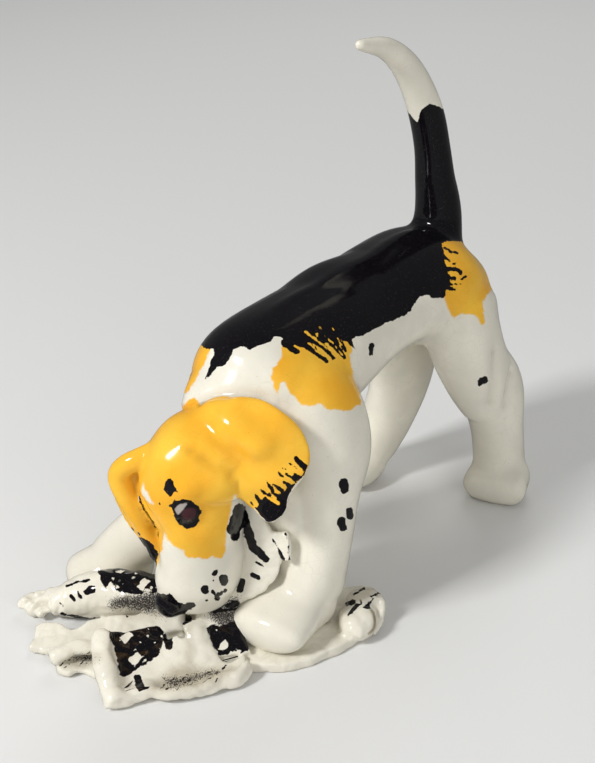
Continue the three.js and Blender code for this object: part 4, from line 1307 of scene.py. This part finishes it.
# Brush marks by the pieces that they lie on, one of them a painted shadow on the right curl: the width
# at both ends, and the pixels they go through
PAPER_MARKS = {
    ("paper_back_roll",): [
        (6, 8, (86, 592), (92, 589)), (3, 3.6, (78, 592), (81, 597)), (2.6, 3.4, (71, 596), (74, 600)),
        (2, 2.6, (66, 586), (78, 582), (89, 580)), (1.6, 1.6, (60, 603), (63, 606)),
        (2, 2.6, (130, 566), (134, 567)), (2.2, 2, (62, 614), (90, 619), (150, 619)),
    ],
    ("paper_left_tongue",): [(2, 2, (124, 614), (127, 616))],
    ("paper_front_fold", "paper_front_rim"): [
        (9, 8, (167, 637), (169, 646)),
    ],
    ("paper_front_fold", "paper_front_rim", "paper_base_sheet"): [
        (8, 8.5, (137.6, 678), (140.2, 686.5)), (3.5, 1.6, (142, 689), (150.4, 686.6)),
    ],
    (
        "paper_mouth_strip", "paper_centre_ridge", "paper_front_fold", "paper_print_panel",
        "paper_back_roll", "paper_base_sheet",
    ): [
        (6.5, 7.5, (183.5, 622), (188, 618.6)), (5, 6, (164, 614.5), (173, 617.5), (184, 616.5)),
    ],
    ("paper_print_panel",): [(4, 10, (214, 611.5), (225, 608), (235.5, 605))],
    ("paper_mouth_strip",): [
        (8, 10, (241.5, 508), (244.5, 519), (248.5, 534)), (10, 9, (248.5, 534), (253, 547)),
        (9, 7, (253, 547), (266, 559)),
        (2, 1.4, (256, 562), (264, 567)), (5, 4, (253, 575), (258, 577)),
        (7, 6, (242, 582), (240, 590)), (10, 4, (235.5, 605), (225, 608), (214, 611.5)),
    ],
    ("paper_cheek_scrap",): [
        (1.4, 1.6, (266, 531), (272, 539), (279, 550)), (2, 5, (279, 550), (283, 560)),
        (1, 1.4, (285, 533), (289, 545), (288.5, 553), (290, 561)),
    ],
    ("paper_right_curl", "paper_right_leaf", "paper_base_sheet"): [
        (3.5, 5.5, (346.5, 604), (353, 602)), (2.6, 4.4, (348.5, 614.5), (357, 605.5)),
        (1.5, 1.2, (357, 605.5), (361.5, 604), (360, 599.5)), (1.6, 2.6, (354, 594.2), (365, 588)),
        # The mark through (371, 601.5) is painted shadow, black in the gap between the curl and its top
        # leaf
        (1.6, 3, (371, 596.3), (381, 592)), (4.4, 1.5, (367.5, 606), (371, 601.5), (373.5, 598.5)),
        (1.6, 1.4, (364, 607), (369, 608.6)),
    ],
}
SOOT = {
    "paper_back_roll": [
        (107, 600), (112, 596), (124, 593), (140, 591), (158, 588), (168, 600), (166, 621), (152, 617),
        (140, 614), (123, 612), (108, 611),
    ],
    "paper_print_panel": [
        (203, 606), (220, 600), (238, 600), (250, 640), (248, 650), (232, 640), (210, 622),
    ],
    "paper_mouth_strip": [(203, 612), (222, 598), (240, 596), (240, 616), (205, 622)],
    "paper_left_leaf": [(70, 656), (84, 652), (98, 654), (98, 664), (80, 664)],
    "paper_front_rim": [(160, 676), (185, 674), (215, 668), (222, 674), (200, 682), (172, 690)],
}
# Dirt and painted shade in the paper's hollows and folds: how strong it is, how softly it ends in
# millimetres, and its outline
PAPER_DIRT_AND_SHADE = [
    (0.55, 2.0, [(148, 692), (160, 678), (180, 664), (205, 668), (232, 668), (218, 682), (185, 690)]),
    (0.35, 1.5, [(60, 662), (76, 656), (98, 652), (98, 662), (72, 668)]),
    (0.4, 1.5, [(182, 626), (190, 622), (194, 650), (190, 672), (184, 668), (186, 648)]),
    (0.35, 2.0, [(120, 600), (150, 602), (170, 612), (150, 620), (118, 616)]),
    (0.35, 1.0, [(348, 600), (354, 591), (366, 587), (379, 589), (372, 597), (360, 603)]),
    (0.3, 2.5, [(334, 630), (338, 605), (346, 600), (350, 611), (344, 622), (336, 638)]),
    # A thin line of painted shadow in the crack beside the right curl
    (1.0, 0.25, [
        (369, 607.6), (373.4, 611), (375.4, 615), (376.2, 621), (375.6, 627), (373.4, 630.6),
        (368.8, 634.6), (367.6, 633.4), (371.4, 629.6), (373.2, 626.4), (373.6, 621),
        (372.8, 615.8), (371.4, 612.6),
    ]),
]
# Pencil strokes: the piece, where the row of strokes starts and ends, and how many
SCRIBBLES = [
    ("paper_front_rim", (163, 686), (222, 673), 15), ("paper_left_leaf", (62, 664), (92, 657), 7),
]


def paint_paper(skin):
    """Print in black blotches, soot in grey speckles, short pencil strokes and a black painted shadow
    in the right curl's gap.
    """
    view = in_picture(skin.points)
    shown = FAR_INSIDE * (skin.facing @ TOWARDS_CAMERA + 0.3)
    for name, outline in PRINT_BLOCKS.items():
        skin.cover("print", outlined(view, outline), skin.within(name), shown)
    for names, marks in PAPER_MARKS.items():
        skin.cover("black", brushed(view, marks), skin.within(*names), shown)
    for name, outline in SOOT.items():
        skin.cover("speckle", outlined(view, outline), skin.within(name) + 1.5, shown)
    for name, start, end, count in SCRIBBLES:
        strokes = []
        for number in range(count):
            share = number / (count - 1)
            middle = np.array(start) * (1 - share) + np.array(end) * share
            middle[1] += 4 * math.sin(number * 2.1)
            lean = np.array((3.2 + math.sin(number * 3.7), -3.4 + 1.5 * math.sin(number * 1.3)))
            strokes.append((0.8, 1.2, middle - lean, middle + lean))
        skin.cover("black", brushed(view, strokes), skin.within(name), shown)


# Places where the paper is worn smooth: a pixel of the photograph, and how far round it
WORN_SPOTS = [((180, 656), 6), ((150, 670), 6), ((162, 655), 5), ((132, 687), 6)]
ROLL_CREASES = [
    [(49, 586), (48, 596), (50, 606), (57, 616)], [(24, 604), (32, 600), (40, 603), (47, 601)],
    [(28, 596), (37, 594), (44, 590)], [(33, 611), (40, 607), (48, 609)],
]


def model_paper():
    """The paper's melted skin, worn, crumpled and creased."""
    skin = Skin("paper", paper_forms(), PAPER_GRAIN)
    fineness = (FINISHED_PAPER_GRAIN / PAPER_GRAIN) ** 2
    skin.relax(int(5 * fineness))
    worn = np.zeros(len(skin.points))
    for pixel, reach in WORN_SPOTS:
        away = np.linalg.norm(skin.points - skin.touch(pixel)[0], axis=1)
        worn = np.maximum(worn, np.clip(1.2 - away / reach, 0, 0.6))
    skin.relax(int(40 * fineness), worn)
    skin.label()
    skin.settle()
    skin.crumple(size=8, height=0.9)
    skin.crumple(size=3, height=0.35)
    left_end = 1 - smooth_step(50, 75, in_picture(skin.points)[:, 0])
    back_roll = skin.belongs_to("paper_back_roll")
    skin.crumple(size=4.5, height=1.6, where=left_end * back_roll)
    skin.settle()
    skin.touch_tree = None
    for crease in ROLL_CREASES:
        skin.crease(skin.touch(*crease), width=1.0, depth=0.9, where=back_roll)
    skin.settle()
    wave_the_sheet(skin)
    skin.settle()
    return skin


def wave_the_sheet(skin):
    """Raises slow waves on the base sheet's upper side and keeps the paper over the table."""
    sheet = np.clip(skin.within("paper_base_sheet") / 1.5, 0, 1) * (skin.points[:, 2] > 1)
    waves = [noise.noise(Vector(point) * 0.11) for point in skin.points]
    skin.points[:, 2] += sheet * np.array(waves) * 0.8
    skin.points[:, 2] = np.maximum(skin.points[:, 2], 0)


def lay_dirt_and_shade_on_paper(skin):
    """Lays dirt and painted shade on the paper where the photograph shows them."""
    view = in_picture(skin.points)
    for strength, softness, outline in PAPER_DIRT_AND_SHADE:
        soiled_and_shaded = strength * smooth_step(-softness, softness, outlined(view, outline))
        skin.paint["dirt_and_shade"] = np.maximum(skin.paint["dirt_and_shade"], soiled_and_shaded)


def make_camera():
    camera = add_object("camera", bpy.data.cameras.new("camera"))
    camera.data.sensor_width = SENSOR
    camera.data.lens = FOCAL_PIXELS * SENSOR / PICTURE[1]
    camera.location = DOG_PLACE @ Vector(CAMERA_SPOT)
    camera.rotation_euler = Vector(-TOWARDS_CAMERA).to_track_quat("-Z", "Y").to_euler()
    camera.data.clip_start = 0.01
    scene.camera = camera


def make_lamp(name, place, size, watts, shines=True):
    lamp = add_object(name, bpy.data.lights.new(name, "AREA"))
    lamp.data.size = size
    lamp.data.energy = watts
    lamp.visible_glossy = shines
    lamp.location = place
    lamp.rotation_euler = (Vector((0, 0, 0.06)) - Vector(place)).to_track_quat("-Z", "Y").to_euler()


def make_world():
    """A white background that lights the object softly and shows faintly in its glaze."""
    scene.world = bpy.data.worlds.new("studio")
    tree = nodes_of(scene.world)
    path = put(tree, "LightPath")
    unseen = ramped(tree, path.outputs["Is Glossy Ray"], 0, 1, 0.35, 0.12)
    strength = ramped(tree, path.outputs["Is Camera Ray"], 0, 1, unseen, 0.9)
    sky = put(tree, "Background", {"Color": (1, 1, 1, 1), "Strength": strength})
    put(tree, "OutputWorld", {"Surface": sky.outputs[0]})


def make_floor():
    form = bmesh.new()
    bmesh.ops.create_grid(form, x_segments=1, y_segments=1, size=2.5)
    floor = add_object("floor", mesh_of(form, "floor"))
    paint = bpy.data.materials.new("pale_floor")
    tree = nodes_of(paint)
    glossy = put(tree, "LightPath").outputs["Is Glossy Ray"]
    shade = mixed(tree, glossy, (0.78, 0.78, 0.77, 1), (0.22, 0.22, 0.22, 1))
    shader = put(tree, "BsdfPrincipled", {"Base Color": shade, "Roughness": 0.7})
    put(tree, "OutputMaterial", {"Surface": shader.outputs[0]})
    floor.data.materials.append(paint)


make_camera()
make_lamp("key", place=(-0.25, -0.85, 0.75), size=0.22, watts=9)
make_lamp("fill", place=(0.9, -0.5, 0.5), size=0.8, watts=3, shines=False)
make_lamp("back", place=(-0.4, 0.9, 0.9), size=0.6, watts=3, shines=False)
make_world()
make_floor()
groups = {"edge": paint_edge_group(), "aged_and_shaded": aged_and_shaded_glaze_group(), "print": print_group()}
glaze = glaze_material("painted_porcelain", groups)
dog = model_dog()
paint_dog(dog)
# Dirt and painted shade in the dog's hollows and seams
note_hollows(dog, DOG_SEAMS)
cut_into_pieces(dog, glaze, DOG_LID_DEPTH)
paper = model_paper()
paint_paper(paper)
# Dirt and painted shade in the paper's hollows
note_hollows(paper)
# Dirt and painted shade on the paper
lay_dirt_and_shade_on_paper(paper)
cut_into_pieces(paper, glaze, PAPER_LID_DEPTH)
scene.view_settings.view_transform = "Standard"
